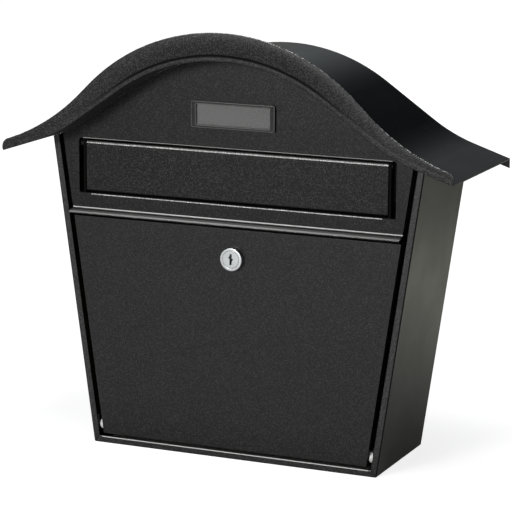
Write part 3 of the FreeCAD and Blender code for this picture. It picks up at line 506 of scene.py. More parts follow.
def add_group(tree, group, **inputs):
    """Node group in a material, with outputs or numbers on its inputs."""
    node = add_node(tree, "ShaderNodeGroup", node_tree=group)
    for socket, value in inputs.items():
        feed(tree, node.inputs[socket.replace("_", " ")], value)
    return node


def new_group(name, inputs, outputs):
    """Empty shader node group with its input and output nodes.

    inputs and outputs give the sockets by name, with Vector or Float for what each one carries.
    """
    group = bpy.data.node_groups.new(name, "ShaderNodeTree")
    for way, sockets in (("INPUT", inputs), ("OUTPUT", outputs)):
        for socket, kind in sockets.items():
            group.interface.new_socket(socket, in_out=way, socket_type="NodeSocket" + kind)
    return group, group.nodes.new("NodeGroupInput"), group.nodes.new("NodeGroupOutput")


def remapped(tree, source, low, high, to_low=0.0, to_high=1.0, smooth=True):
    """Value brought from one range to another and held there."""
    node = add_node(tree, "ShaderNodeMapRange", links={"Value": source},
                    interpolation_type="SMOOTHSTEP" if smooth else "LINEAR",
                    from_min=low, from_max=high, to_min=to_low, to_max=to_high)
    return node.outputs["Result"]


def calculated(tree, operation, first, second=0.0):
    """Result of one sum on an output and an output or number."""
    node = add_node(tree, "ShaderNodeMath", operation=operation, links={0: first})
    feed(tree, node.inputs[1], second)
    return node.outputs["Value"]


def product(tree, first, second):
    """Product of an output and an output or number."""
    return calculated(tree, "MULTIPLY", first, second)


def larger(tree, first, second):
    """Larger one of two outputs."""
    return calculated(tree, "MAXIMUM", first, second)


def band(tree, source, start, full, fall, end, most=1.0):
    """Mask that grows from start to full, stays at its most, and fades again from fall to end."""
    return product(tree, remapped(tree, source, start, full), remapped(tree, source, end, fall, 0.0, most))


def axes(tree, source):
    """Outputs with a vector's parts along X, Y and Z."""
    split = add_node(tree, "ShaderNodeSeparateXYZ", links={"Vector": source})
    return split.outputs["X"], split.outputs["Y"], split.outputs["Z"]


def mixed(tree, factor, first, second):
    """Blend of two colours, each an output or a linear colour."""
    node = add_node(tree, "ShaderNodeMix", data_type="RGBA", links={"Factor": factor})
    feed(tree, node.inputs[MIX_FIRST], first)
    feed(tree, node.inputs[MIX_SECOND], second)
    return node.outputs[MIX_RESULT]


def mark(tree, name):
    """Output with a share that the mesh keeps as an attribute."""
    return add_node(tree, "ShaderNodeAttribute", attribute_name=name).outputs["Fac"]


def uneven(tree, grain, rough, spread):
    """Roughness that wanders about a value with the grain's slow mottle."""
    return remapped(tree, grain.outputs["Mottle"], 0.0, 1.0, rough - spread, rough + spread)


def dulled(tree, rough, mask, added):
    """Roughness with an amount added where a mask says so."""
    return calculated(tree, "ADD", rough, product(tree, mask, added))


# Node groups

def grain_group():
    """Pebbled coat: each cell of a Voronoi pattern is a round pebble with a brightness of its own.

    Height is the pebbles' domes over fine noise, Fleck is their brightness and Mottle is slow noise.
    """
    known = bpy.data.node_groups.get("Coat Grain")
    if known:
        return known
    group, start, end = new_group("Coat Grain", {"Coordinates": "Vector", "Pebbles per Metre": "Float"},
                                  {"Height": "Float", "Fleck": "Float", "Mottle": "Float"})
    place, pebbles = start.outputs["Coordinates"], start.outputs["Pebbles per Metre"]
    cells = add_node(group, "ShaderNodeTexVoronoi", feature="F1", links={"Vector": place, "Scale": pebbles})
    fine = add_node(group, "ShaderNodeTexNoise", detail=2.0, roughness=0.6,
                    links={"Vector": place, "Scale": pebbles})
    slow = add_node(group, "ShaderNodeTexNoise", scale=26.0, detail=3.0, links={"Vector": place})
    pick = add_node(group, "ShaderNodeSeparateColor", links={"Color": cells.outputs["Color"]})
    dome = remapped(group, cells.outputs["Distance"], 0.20, 0.70, 1.0, 0.0)
    bright = remapped(group, pick.outputs["Red"], 0.10, 1.0, smooth=False)
    tall = remapped(group, pick.outputs["Green"], 0.0, 1.0, 0.3, 1.0, smooth=False)
    height = calculated(group, "ADD", product(group, dome, tall), fine.outputs["Fac"])
    feed(group, end.inputs["Height"], product(group, height, 0.5))
    feed(group, end.inputs["Fleck"], product(group, dome, bright))
    feed(group, end.inputs["Mottle"], remapped(group, slow.outputs["Fac"], 0.30, 0.70))
    return group


def edge_group():
    """Rounded edges: the normal of a small rounding, and a mask of where it leaves the flat normal.

    Level keeps only the edges that run from side to side, where the rounded normal has no sideways part.
    """
    known = bpy.data.node_groups.get("Soft Edges")
    if known:
        return known
    group, start, end = new_group("Soft Edges", {"Width": "Float"},
                                  {"Normal": "Vector", "Edge": "Float", "Level": "Float"})
    rounding = add_node(group, "ShaderNodeBevel", samples=6, links={"Radius": start.outputs["Width"]})
    normal = rounding.outputs["Normal"]
    surface = group.nodes.new("ShaderNodeNewGeometry")
    likeness = add_node(group, "ShaderNodeVectorMath", operation="DOT_PRODUCT",
                        links={0: normal, 1: surface.outputs["Normal"]})
    edge = remapped(group, likeness.outputs["Value"], 0.995, 0.86)
    sideways = calculated(group, "ABSOLUTE", axes(group, normal)[0])
    feed(group, end.inputs["Normal"], normal)
    feed(group, end.inputs["Edge"], edge)
    feed(group, end.inputs["Level"], product(group, edge, remapped(group, sideways, *LEVEL_NORMAL)))
    return group


def direction_group():
    """Masks by the way a face looks: one grows on faces that look up, for dust and a painted top light, and
    Bend picks normals that lean up, for a painted highlight.

    Under grows on faces that look down, and Corner picks the roundings between the front and a side; both
    place painted shade.
    """
    known = bpy.data.node_groups.get("Face Directions")
    if known:
        return known
    group, start, end = new_group("Face Directions", {"Normal": "Vector", "Grain": "Float"},
                                  {"Dust and Sheen": "Float", "Bend": "Float", "Under": "Float", "Corner": "Float"})
    x, _, z = axes(group, start.outputs["Normal"])
    sideways = calculated(group, "ABSOLUTE", x)
    upward = remapped(group, z, 0.30, 0.90)
    broken = remapped(group, start.outputs["Grain"], 0.35, 0.95, 0.55, 1.0)
    leaning = band(group, z, 0.10, 0.22, 0.46, 0.62)
    feed(group, end.inputs["Dust and Sheen"], product(group, upward, broken))
    feed(group, end.inputs["Bend"], product(group, leaning, remapped(group, sideways, *LEVEL_NORMAL)))
    feed(group, end.inputs["Under"], remapped(group, z, -0.35, -0.75))
    feed(group, end.inputs["Corner"], band(group, sideways, 0.04, 0.22, 0.96, 0.99))
    return group


# Materials

def blank_material(name):
    """Material with an empty tree, that tree and the object's own coordinates."""
    material = bpy.data.materials.new(name)
    material.use_nodes = True
    tree = material.node_tree
    tree.nodes.clear()
    return material, tree, tree.nodes.new("ShaderNodeTexCoord").outputs["Object"]


def grained_material(name, pebbles):
    """Material with a Principled shader and a pebbled grain, its tree, both nodes and the coordinates."""
    material, tree, place = blank_material(name)
    shader = tree.nodes.new("ShaderNodeBsdfPrincipled")
    add_node(tree, "ShaderNodeOutputMaterial", links={"Surface": shader.outputs["BSDF"]})
    grain = add_group(tree, grain_group(), Coordinates=place, Pebbles_per_Metre=pebbles)
    return material, tree, shader, grain, place


def add_relief(tree, shader, height, distance, normal):
    """Small relief on the shader's normal."""
    node = add_node(tree, "ShaderNodeBump", distance=distance, links={"Height": height, "Normal": normal})
    feed(tree, shader.inputs["Normal"], node.outputs["Normal"])


def stripe(half, line, start, end, tint, dull=0.0):
    """Patch along a level line that reaches half to each side, from start to end over the line."""
    return 0.0, half, line + start, line + end, tint, dull


def coat_material(name, finishes, ground, fleck, specular, rough, relief=1.0, bends=True, marked=False,
                  smooth_behind=None, level=None, patches=(), corners=0.0):
    """Powder coat: dark ground, lighter pebbles, paler edges that are partly wear and partly a painted
    highlight, and slightly uneven gloss.

    fleck is the most that the pebbles take on of their own colour, and relief scales their height. bends adds
    dust and a painted top light where the coat faces up, and a painted highlight on bends. marked paints a
    highlight along the crest and shade in the groove and under the hem where the mesh says so.
    smooth_behind holds two depths, a share and a colour: between the depths, the flecks fade to that share
    and the ground turns to that colour, on the walls an olive tint that is a painted reflection. level is the
    colour of a painted highlight along edges from side to side. Each patch holds its lowest and highest
    distance from the middle, its lowest and highest height, a colour and an amount of roughness to add, and
    paints a highlight or a shade. corners is the share by which the coat darkens on upright roundings, as
    painted shade.
    """
    material, tree, shader, grain, place = grained_material(name, finishes.coat_pebbles)
    edges = add_group(tree, edge_group(), Width=finishes.edge_width)
    height = grain.outputs["Height"]
    facing = add_group(tree, direction_group(), Normal=edges.outputs["Normal"], Grain=height)
    dim_highlight = remapped(tree, height, 0.25, 0.60, 0.35, 1.0)
    gloss = uneven(tree, grain, rough, COAT_SPREAD)
    mask = product(tree, grain.outputs["Fleck"], fleck)
    x, y, z = axes(tree, place)
    # Behind the front the flecks fade and the ground turns to a tint that is a painted reflection.
    if smooth_behind is not None:
        start, end, share, behind = smooth_behind
        keep = remapped(tree, y, start, end, 1.0, share)
        mask = product(tree, mask, keep)
        height = product(tree, height, keep)
        ground = mixed(tree, remapped(tree, y, start, end), ground, behind)
    body = mixed(tree, mask, ground, finishes.coat_light)
    # Paler sharp edges, broken by the grain: partly wear, partly a painted highlight.
    body = mixed(tree, product(tree, edges.outputs["Edge"], dim_highlight), body, finishes.coat_edge)
    # Painted highlight along edges that run from side to side.
    if level is not None:
        body = mixed(tree, product(tree, edges.outputs["Level"], dim_highlight), body, level)
    # Dust and a painted top light where the coat faces up, and a painted highlight on bends that lean up.
    if bends:
        bend = facing.outputs["Bend"]
        body = mixed(tree, facing.outputs["Dust and Sheen"], body, finishes.coat_dust_and_sheen)
        body = mixed(tree, product(tree, bend, dim_highlight), body, finishes.coat_bend_highlight)
        gloss = product(tree, gloss, remapped(tree, bend, 0.0, 1.0, 1.0, BEND_GLOSS))
        height = product(tree, height, remapped(tree, bend, 0.0, 1.0, 1.0, BEND_RELIEF))
    # Painted highlight in dashes along the fascia's crest, and painted shade in its groove and under its hem.
    if marked:
        sunk = mark(tree, "sunk")
        highlight_dashes = remapped(tree, grain.outputs["Height"], 0.30, 0.55)
        body = mixed(tree, product(tree, mark(tree, "worn"), highlight_dashes), body, finishes.coat_worn)
        body = mixed(tree, sunk, body, finishes.coat_painted_shade)
        gloss = dulled(tree, gloss, sunk, DULL)
    # Each patch paints a highlight or a shade over a stripe.
    aside = calculated(tree, "ABSOLUTE", x)
    for near, far, low, high, tint, added in patches:
        across = band(tree, aside, near - PATCH_SIDE, near, far, far + PATCH_SIDE)
        inside = product(tree, across, band(tree, z, low, low + PATCH_SOFT, high - PATCH_SOFT, high))
        body = mixed(tree, inside, body, tint)
        gloss = dulled(tree, gloss, inside, added)
    # Painted shade on faces that look down and, where corners is set, on upright roundings.
    hidden = facing.outputs["Under"]
    if corners:
        hidden = larger(tree, hidden, product(tree, facing.outputs["Corner"], corners))
    feed(tree, shader.inputs["Base Color"], mixed(tree, hidden, body, finishes.coat_painted_shade))
    feed(tree, shader.inputs["Roughness"], dulled(tree, gloss, hidden, HIDDEN_DULL))
    shader.inputs["Specular IOR Level"].default_value = specular
    add_relief(tree, shader, height, finishes.pebble_height * relief, edges.outputs["Normal"])
    return material


def plated_material(name, bright, shade, rough, pits):
    """Plated metal: fine darker pits and clouded gloss."""
    material, tree, shader, grain, _ = grained_material(name, pits)
    edges = add_group(tree, edge_group(), Width=FINE_EDGE)
    feed(tree, shader.inputs["Base Color"], mixed(tree, grain.outputs["Fleck"], bright, shade))
    feed(tree, shader.inputs["Roughness"], uneven(tree, grain, rough, CLOUD_SPREAD))
    shader.inputs["Metallic"].default_value = 1.0
    add_relief(tree, shader, grain.outputs["Height"], PIT_DEPTH, edges.outputs["Normal"])
    return material


def moulded_material(name, light, shade, edge, rough, pebbles, depth, specular=0.4, marked=False):
    """Moulded plastic: clouded colour, fine mould grain and paler edges as a painted highlight, also where
    the mesh marks them.
    """
    material, tree, shader, grain, _ = grained_material(name, pebbles)
    edges = add_group(tree, edge_group(), Width=FINE_EDGE)
    clouds = product(tree, grain.outputs["Mottle"], grain.outputs["Fleck"])
    body = mixed(tree, edges.outputs["Edge"], mixed(tree, clouds, light, shade), edge)
    # Painted highlight where the mesh marks the rounded edges.
    if marked:
        body = mixed(tree, mark(tree, "worn"), body, edge)
    feed(tree, shader.inputs["Base Color"], body)
    feed(tree, shader.inputs["Roughness"], uneven(tree, grain, rough, CLOUD_SPREAD))
    shader.inputs["Specular IOR Level"].default_value = specular
    add_relief(tree, shader, grain.outputs["Height"], depth, edges.outputs["Normal"])
    return material


def window_material(finishes):
    """Clear plastic with faint rubbing marks."""
    material, tree, shader, grain, _ = grained_material("clear_window", finishes.coat_pebbles)
    mottle = grain.outputs["Mottle"]
    feed(tree, shader.inputs["Base Color"], mixed(tree, mottle, finishes.window, finishes.window_shade))
    feed(tree, shader.inputs["Roughness"], remapped(tree, mottle, 0.0, 1.0, 0.06, 0.16))
    feed(tree, shader.inputs["Alpha"], remapped(tree, mottle, 0.0, 1.0, 0.02, 0.04))
    return material


def floor_material(stage):
    """Pale floor: diffuse paint with faint specks, and a glow that makes it white.

    The camera sees all of the glow. Reflections see it in front of the box, beside it, in a band far behind
    and in a pool behind, each with soft ends, and only a share of it elsewhere.
    """
    material, tree, place = blank_material("pale_floor")
    x, y, _ = axes(tree, place)
    aside = calculated(tree, "ABSOLUTE", x)
    from_middle = add_node(tree, "ShaderNodeVectorMath", operation="LENGTH", links={0: place})
    from_pool = add_node(tree, "ShaderNodeVectorMath", operation="DISTANCE", links={0: place})
    from_pool.inputs[1].default_value = stage.pool_place
    pool = remapped(tree, from_pool.outputs["Value"], stage.pool_inner, stage.pool_outer,
                    stage.pool_bright, 0.0)
    ahead = product(tree, remapped(tree, y, *AHEAD_DEPTH), remapped(tree, x, *AHEAD_RIGHT))
    ahead = product(tree, ahead, remapped(tree, x, *AHEAD_LEFT, AHEAD_FAR_LEFT, 1.0))
    beside = product(tree, remapped(tree, aside, *BESIDE_REACH),
                     remapped(tree, y, *BESIDE_DEPTH, 0.0, stage.floor_beside))
    beyond = band(tree, y, *BEYOND_DEPTH, stage.floor_beside)
    lit = larger(tree, larger(tree, pool, ahead), larger(tree, beside, beyond))
    lit = remapped(tree, lit, 0.0, 1.0, stage.floor_shade, 1.0, smooth=False)
    rays = tree.nodes.new("ShaderNodeLightPath")
    mirrored = larger(tree, rays.outputs["Is Glossy Ray"], rays.outputs["Is Transmission Ray"])
    seen = larger(tree, rays.outputs["Is Camera Ray"], product(tree, mirrored, lit))
    white = remapped(tree, from_middle.outputs["Value"], *WHITE_REACH, stage.floor_near, 1.0)
    behind = product(tree, mirrored, remapped(tree, y, *WARM_DEPTH))
    glow = add_node(tree, "ShaderNodeEmission", links={"Strength": product(tree, seen, white),
                                                       "Color": mixed(tree, behind, WHITE, stage.floor_warm)})
    specks = add_node(tree, "ShaderNodeTexNoise", scale=FLOOR_SPECKS, links={"Vector": place})
    shade = [SPECK_SHADE * part for part in stage.floor_colour]
    tone = mixed(tree, specks.outputs["Fac"], stage.floor_colour, shade)
    coat = add_node(tree, "ShaderNodeBsdfDiffuse", links={"Color": tone})
    both = add_node(tree, "ShaderNodeAddShader", links={0: glow.outputs["Emission"], 1: coat.outputs["BSDF"]})
    add_node(tree, "ShaderNodeOutputMaterial", links={"Surface": both.outputs["Shader"]})
    return material


def paint(material, *names):
    """Puts a material into the slots of CAD nodes."""
    for name in names:
        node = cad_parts[name]
        if not node.material_slots:
            node.data.materials.append(material)
        for slot in node.material_slots:
            slot.material = material


def place_piece(piece, material, body, slot, *nodes):
    """Gives a new piece its material and its body, and hides the nodes that it stands for. The slot is not
    used.
    """
    piece.data.materials.append(material)
    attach(piece, body)
    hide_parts(*nodes)


# Operators

class LETTERBOX_OT_coat_sheets(bpy.types.Operator):
    """Coat the folded sheets of the housing, the door and the flap"""

    bl_idname = "letterbox.coat_sheets"
    bl_label = "Coat the Sheets"

    def execute(self, context):
        sizes = context.scene.letter_box_sizes
        finishes = context.scene.letter_box_finishes
        dark, shade_colour = finishes.coat_dark, finishes.coat_painted_shade
        level, dim_highlight = finishes.coat_level_highlight, finishes.coat_dim_highlight
        half, slot = PLATE_HIGH.x, sizes.slot_half
        # Patches of painted shade: on the hinge ears, in the crease under the ledge's fold, on the slot's lip
        # and on the top of the flap's roll. Patches of painted highlight: along the slot's upper edge, the
        # ledge's fold and front edge, and the rim's lower edge.
        ears = (sizes.ear_inner, sizes.ear_outer, sizes.slot_low, sizes.slot_high, shade_colour, DULL)
        brow = stripe(slot - sizes.brow_end, sizes.slot_high, start=-0.0004, end=0.0007, tint=dim_highlight)
        crease = stripe(half, sizes.ledge_fold, start=-0.0013, end=-0.0001, tint=dark, dull=SLIGHTLY_DULL)
        fold = stripe(half, sizes.ledge_fold, start=-0.0002, end=0.0011, tint=level)
        nose = stripe(half, PLATE_LOW.z, start=0.0009, end=0.0020, tint=dim_highlight)
        lip = stripe(slot, sizes.slot_low, start=-0.0007, end=0.0008, tint=shade_colour, dull=DULL)
        roll = stripe(half, FLAP_TOP, start=-0.0007, end=0.0006, tint=dark, dull=SLIGHTLY_DULL)
        sill = stripe(sizes.sill_half, sizes.rim_width, start=-0.0010, end=0.0002, tint=level)
        # Behind the front the walls' ground turns olive, a painted reflection.
        smooth = (FRONT_Y + sizes.grain_end, FRONT_Y + sizes.smooth_start, SMOOTH_FLECK, finishes.wall_sheen_tint)
        # The walls get a painted highlight along level edges and painted shade on their upright roundings.
        wall = {"fleck": 0.40, "specular": 0.26, "rough": 0.34, "level": dim_highlight, "corners": 0.9,
                "smooth_behind": smooth}

        paint(coat_material("coat_plate", finishes, dark, fleck=0.25, specular=0.110, rough=0.34,
                            patches=[ears, brow, crease, fold, nose, lip]), "front_plate")
        paint(coat_material("coat_flap", finishes, dark, fleck=0.36, specular=0.095, rough=0.34,
                            patches=[roll]), "flap")
        # Rod, cap and hinge brackets sit in shade: their near-black coat is painted shade.
        paint(coat_material("coat_rod_in_shade", finishes, shade_colour, fleck=0.03, specular=0.10, rough=0.60, bends=False),
              "flap_rod", "flap_rod_cap", "hinge_bracket_left", "hinge_bracket_right")
        paint(coat_material("coat_door", finishes, dark, fleck=0.24, specular=0.165, rough=0.36, relief=0.5,
                            bends=False), "door")
        paint(coat_material("coat_walls", finishes, dark, patches=[sill], **wall), "housing_wrap")
        paint(coat_material("coat_back", finishes, dark, **wall), "back_panel")
        paint(coat_material("coat_roof", finishes, finishes.roof_dark, fleck=0.01, specular=0.28, rough=0.24,
                            relief=0.01, bends=False), "roof_sheet")
        return {"FINISHED"}


class LETTERBOX_OT_shape_fascia(bpy.types.Operator):
    """Roll the fascia along the roof's front edge, with its hem and groove"""

    bl_idname = "letterbox.shape_fascia"
    bl_label = "Shape the Fascia"

    def execute(self, context):
        finishes = context.scene.letter_box_finishes
        points, worn, sunk = fascia_points(context.scene.letter_box_sizes)
        piece = grid_object("fascia_with_hem", points, False, True, cap_ends=True, worn=worn, sunk=sunk)
        # The fascia's coat paints a highlight in dashes along the crest and shade in its groove and under its
        # hem.
        coat = coat_material("coat_fascia", finishes, finishes.coat_dark, fleck=0.48, specular=0.115,
                             rough=0.34, bends=False, marked=True)
        place_piece(piece, coat, "housing", "powder_coat", "roof_fascia")
        return {"FINISHED"}


class LETTERBOX_OT_fit_lock(bpy.types.Operator):
    """Turn the lock's bezel and plate the lock's pieces"""

    bl_idname = "letterbox.fit_lock"
    bl_label = "Fit the Lock"

    def execute(self, context):
        sizes = context.scene.letter_box_sizes
        finishes = context.scene.letter_box_finishes
        outer = (LOCK_HIGH.x - LOCK_LOW.x) / 2
        middle_z = (LOCK_HIGH.z + LOCK_LOW.z) / 2
        front, back = LOCK_LOW.y, LOCK_HIGH.y
        collar = front + sizes.bezel_proud
        seat = front + sizes.face_depth
        step = sizes.bezel_round
        profile = np.concatenate([
            [[sizes.face_radius, seat], [sizes.face_radius, front + sizes.bezel_chamfer]],
            [[sizes.face_radius + sizes.bezel_chamfer, front]],
            rounded_corner((outer - step, front + step), step, -90, 0),
            [[outer, collar], [sizes.barrel_radius, collar]],
            [[sizes.barrel_radius, back], [sizes.plug_radius, back]],
            [[sizes.plug_radius, seat]],
        ])
        along, across, up = np.moveaxis(turned_points(profile, LOCK_STEPS), -1, 0)
        piece = grid_object("lock_bezel", np.stack([across, along, middle_z + up], axis=-1), True, True)
        nickel = plated_material("satin_nickel", finishes.nickel, finishes.nickel_shade,
                                 rough=0.30, pits=2400.0)
        face = plated_material("plug_face", finishes.plug, finishes.nickel_shade, rough=0.34, pits=3000.0)
        zinc = plated_material("zinc_plate", finishes.zinc, finishes.zinc_shade, rough=0.38, pits=420.0)
        place_piece(piece, nickel, "door", "nickel", "lock_body")
        paint(face, "lock_plug")
        paint(zinc, "lock_nut", "lock_cam", "cam_washer", "cam_screw", "hinge_pin_left", "hinge_pin_right")
        return {"FINISHED"}


class LETTERBOX_OT_fit_bushes(bpy.types.Operator):
    """Turn the two hinge bushes with domed collars"""

    bl_idname = "letterbox.fit_bushes"
    bl_label = "Fit the Bushes"

    def execute(self, context):
        sizes = context.scene.letter_box_sizes
        finishes = context.scene.letter_box_finishes
        middle = (BUSH_LOW + BUSH_HIGH) / 2
        outer = (BUSH_HIGH.z - BUSH_LOW.z) / 2
        inner_end = BUSH_LOW.x
        collar_end = inner_end + sizes.bush_collar
        dome_start = inner_end + sizes.bush_edge
        sleeve = sizes.bush_sleeve_radius
        turn = np.linspace(0.0, math.pi / 2, DOME_STEPS)
        dome = np.stack([sleeve + (outer - sleeve) * np.cos(turn),
                         dome_start + (collar_end - dome_start) * np.sin(turn)], axis=-1)
        profile = np.concatenate([
            [[sizes.bush_bore, inner_end], [outer, inner_end]],
            dome,
            [[sleeve, BUSH_HIGH.x], [sizes.bush_bore, BUSH_HIGH.x]],
        ])
        plastic = moulded_material("bush_mould", finishes.bush, finishes.bush_shade, finishes.bush,
                                   rough=0.45, pebbles=900.0, depth=MOULD_GRAIN)
        along, depth, up = np.moveaxis(turned_points(profile, BUSH_STEPS), -1, 0)
        for side, node in ((1, "hinge_bush_right"), (-1, "hinge_bush_left")):
            points = np.stack([side * along, middle.y + depth, middle.z + up], axis=-1)
            piece = grid_object(node + "_domed", points, True, True)
            place_piece(piece, plastic, "housing", "bush_plastic", node)
        return {"FINISHED"}


class LETTERBOX_OT_fit_nameplate(bpy.types.Operator):
    """Mould the name plate's frame and set the window and the bare card into it"""

    bl_idname = "letterbox.fit_nameplate"
    bl_label = "Fit the Name Plate"

    def execute(self, context):
        sizes = context.scene.letter_box_sizes
        finishes = context.scene.letter_box_finishes
        centre = (NAME_LOW + NAME_HIGH) / 2
        points, worn = self.frame_points(sizes, centre)
        piece = grid_object("nameplate_surround", points, True, True, worn=worn)
        # The frame's paler rounded edges are a painted highlight.
        plastic = moulded_material("frame_mould", finishes.plate_dark, finishes.plate_shade,
                                   finishes.plate_edge_highlight, rough=0.30, pebbles=700.0, depth=MOULD_GRAIN,
                                   specular=0.2, marked=True)
        place_piece(piece, plastic, "housing", "frame_plastic", "nameplate_frame")
        paint(window_material(finishes), "nameplate_window")
        card = grid_object("card_sheet", self.card_points(sizes, centre), False, True, cap_ends=True)
        paper = moulded_material("bare_card", finishes.card, finishes.card_shade, finishes.card, rough=0.62,
                                 pebbles=900.0, depth=CARD_GRAIN, specular=0.2)
        place_piece(card, paper, "housing", "card", "name_card")
        return {"FINISHED"}

    @staticmethod
    def frame_points(sizes, centre):
        """Frame as rounded rectangles from its back over the front into the rebate, and the painted highlight
        on its rounded edges.

        Both front edges are quarter circles: a rectangle shrinks or grows by the radius times 1 - cos and
        lies behind the front by the radius times 1 - sin. The flat front lies between them.
        """
        width = NAME_HIGH.x - NAME_LOW.x
        height = NAME_HIGH.z - NAME_LOW.z
        front, back, rebate = NAME_LOW.y, NAME_HIGH.y, WINDOW_LOW.y
        window_width = width - 2 * sizes.name_border_x
        window_height = height - 2 * sizes.name_border_z
        rebate_width = WINDOW_HIGH.x - WINDOW_LOW.x + 2 * sizes.name_gap
        rebate_height = WINDOW_HIGH.z - WINDOW_LOW.z + 2 * sizes.name_gap
        turn = np.linspace(0.0, math.pi / 2, len(NAME_HIGHLIGHT))
        inwards = sizes.name_round * (1 - np.cos(turn))
        depth = front + sizes.name_round * (1 - np.sin(turn))
        flat = sizes.name_round + sizes.name_flat
        insets = np.concatenate([[0.0], inwards, [flat]])
        grows = insets[::-1]
        inner = sizes.name_inner_corner
        widths = np.concatenate([width - 2 * insets, window_width + 2 * grows, [rebate_width] * 2])
        heights = np.concatenate([height - 2 * insets, window_height + 2 * grows, [rebate_height] * 2])
        corners = np.concatenate([sizes.name_corner - insets, inner + grows, [inner] * 2])
        corners = np.maximum(corners, sizes.name_least_corner)
        depths = np.concatenate([[back], depth, [front] * 2, depth[::-1], [rebate] * 2, [back]])
        worn = np.concatenate([[0.0], NAME_HIGHLIGHT, [0.0, 0.0], NAME_HIGHLIGHT[::-1], [0.0, 0.0, 0.0]])
        return rectangle_points(widths, heights, corners, depths, centre), worn[:, None]

    @staticmethod
    def card_points(sizes, centre):
        """Card as three rounded rectangles, of which the foremost is smaller by the bevel on each side."""
        bevel = sizes.card_bevel
        inset = np.array([0.0, 0.0, bevel])
        depths = [CARD_HIGH.y, CARD_LOW.y + 2 * bevel, CARD_LOW.y + bevel]
        return rectangle_points(CARD_HIGH.x - CARD_LOW.x - 2 * inset, CARD_HIGH.z - CARD_LOW.z - 2 * inset,
                                sizes.card_corner - inset, depths, centre)


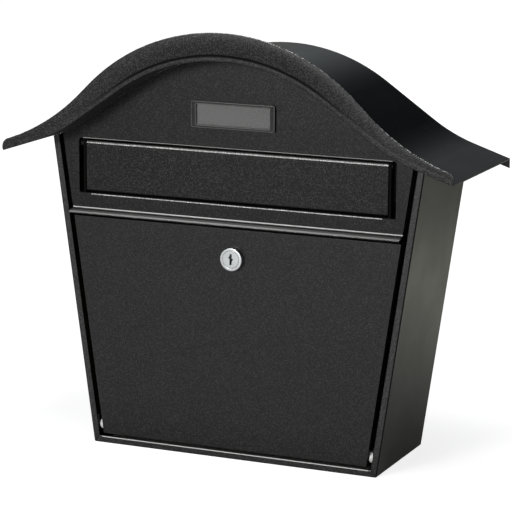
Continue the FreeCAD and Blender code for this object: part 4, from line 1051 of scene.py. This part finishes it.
class LETTERBOX_OT_set_stage(bpy.types.Operator):
    """Set up the floor, the soft lamps and the camera"""

    bl_idname = "letterbox.set_stage"
    bl_label = "Set the Stage"

    def execute(self, context):
        scene = context.scene
        stage = scene.letter_box_stage
        scene.view_settings.view_transform = "Standard"
        self.lay_floor(stage)
        self.light_room(scene, stage)
        target = Vector((0.0, FRONT_Y, CAD_BOX[1].z / 2))
        for softbox, power in zip(SOFTBOXES, (stage.key_power, stage.fill_power, stage.top_power)):
            self.hang_lamp(scene, target, power, *softbox)
        self.place_camera(scene, stage)
        return {"FINISHED"}

    @staticmethod
    def lay_floor(stage):
        """Round floor that curves up into a low backdrop: a (radius, height) profile turned about Z."""
        rim, bend = stage.floor_radius, stage.floor_bend
        profile = np.concatenate([
            [[0.0, 0.0], [FLOOR_RING, 0.0], [rim - bend, 0.0]],
            rounded_corner((rim - bend, bend), bend, -90, 0, 9),
            [[rim, stage.wall_height]],
        ])
        along, across, depth = np.moveaxis(turned_points(profile, stage.floor_steps), -1, 0)
        floor = grid_object("floor", np.stack([across, depth, along], axis=-1), True, False)
        floor.data.materials.append(floor_material(stage))

    @staticmethod
    def light_room(scene, stage):
        """Soft light of the room, which comes from a pale wall on the left."""
        world = bpy.data.worlds.new("room")
        world.use_nodes = True
        tree = world.node_tree
        background = tree.nodes["Background"]
        x, _, _ = axes(tree, tree.nodes.new("ShaderNodeTexCoord").outputs["Generated"])
        share = remapped(tree, x, *ROOM_RAMP, stage.room_dark, stage.room_bright)
        feed(tree, background.inputs["Strength"], share)
        feed(tree, background.inputs["Color"], stage.room_tint)
        scene.world = world

    @staticmethod
    def hang_lamp(scene, target, power, name, place, width, height, tint):
        """Soft rectangular lamp that points at a target and stays out of the picture."""
        data = bpy.data.lights.new(name, "AREA")
        data.shape = "RECTANGLE"
        data.size = width
        data.size_y = height
        data.energy = power
        data.color = tint
        lamp = bpy.data.objects.new(name, data)
        lamp.location = place
        lamp.rotation_mode = "QUATERNION"
        lamp.rotation_quaternion = (target - Vector(place)).to_track_quat("-Z", "Y")
        lamp.visible_camera = False
        scene.collection.objects.link(lamp)

    @staticmethod
    def place_camera(scene, stage):
        """Camera from its place, azimuth, elevation and roll."""
        azimuth, elevation, roll = stage.camera_azimuth, stage.camera_elevation, stage.camera_roll
        ahead = Vector((-math.sin(azimuth) * math.cos(elevation), math.cos(azimuth) * math.cos(elevation),
                        -math.sin(elevation)))
        right = Vector((math.cos(azimuth), math.sin(azimuth), 0.0))
        up = right.cross(ahead)
        tilted_right = right * math.cos(roll) + up * math.sin(roll)
        tilted_up = up * math.cos(roll) - right * math.sin(roll)
        turn = Matrix((tilted_right, tilted_up, -ahead)).transposed()
        data = bpy.data.cameras.new("camera")
        data.sensor_width = IMAGE_SENSOR
        data.lens = stage.camera_lens
        data.clip_end = CLIP_END
        camera = bpy.data.objects.new("camera", data)
        camera.matrix_world = Matrix.Translation(Vector(stage.camera_place)) @ turn.to_4x4()
        scene.collection.objects.link(camera)
        scene.camera = camera


class LETTERBOX_PT_looks(bpy.types.Panel):
    """Pieces, finishes and stage of the letter box"""

    bl_idname = "LETTERBOX_PT_looks"
    bl_label = "Letter Box"
    bl_space_type = "VIEW_3D"
    bl_region_type = "UI"
    bl_category = "Letter Box"

    def draw(self, context):
        layout = self.layout
        for operator in OPERATORS:
            layout.operator(operator.bl_idname)
        scene = context.scene
        for group in (scene.letter_box_sizes, scene.letter_box_finishes, scene.letter_box_stage):
            box = layout.box()
            for name in type(group).__annotations__:
                box.prop(group, name)


GROUPS = (LetterBoxSizes, LetterBoxFinishes, LetterBoxStage)
OPERATORS = (
    LETTERBOX_OT_coat_sheets,
    LETTERBOX_OT_shape_fascia,
    LETTERBOX_OT_fit_lock,
    LETTERBOX_OT_fit_bushes,
    LETTERBOX_OT_fit_nameplate,
    LETTERBOX_OT_set_stage,
)


def register():
    """Register the groups, the operators and the panel."""
    for group in GROUPS:
        bpy.utils.register_class(group)
    bpy.types.Scene.letter_box_sizes = PointerProperty(type=LetterBoxSizes)
    bpy.types.Scene.letter_box_finishes = PointerProperty(type=LetterBoxFinishes)
    bpy.types.Scene.letter_box_stage = PointerProperty(type=LetterBoxStage)
    for operator in OPERATORS:
        bpy.utils.register_class(operator)
    bpy.utils.register_class(LETTERBOX_PT_looks)


def unregister():
    """Take everything off again, in the opposite order."""
    bpy.utils.unregister_class(LETTERBOX_PT_looks)
    for operator in reversed(OPERATORS):
        bpy.utils.unregister_class(operator)
    del bpy.types.Scene.letter_box_stage
    del bpy.types.Scene.letter_box_finishes
    del bpy.types.Scene.letter_box_sizes
    for group in reversed(GROUPS):
        bpy.utils.unregister_class(group)


def main():
    """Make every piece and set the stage."""
    register()
    bpy.ops.letterbox.coat_sheets()
    bpy.ops.letterbox.shape_fascia()
    bpy.ops.letterbox.fit_lock()
    bpy.ops.letterbox.fit_bushes()
    bpy.ops.letterbox.fit_nameplate()
    bpy.ops.letterbox.set_stage()


if __name__ == "__main__":
    main()
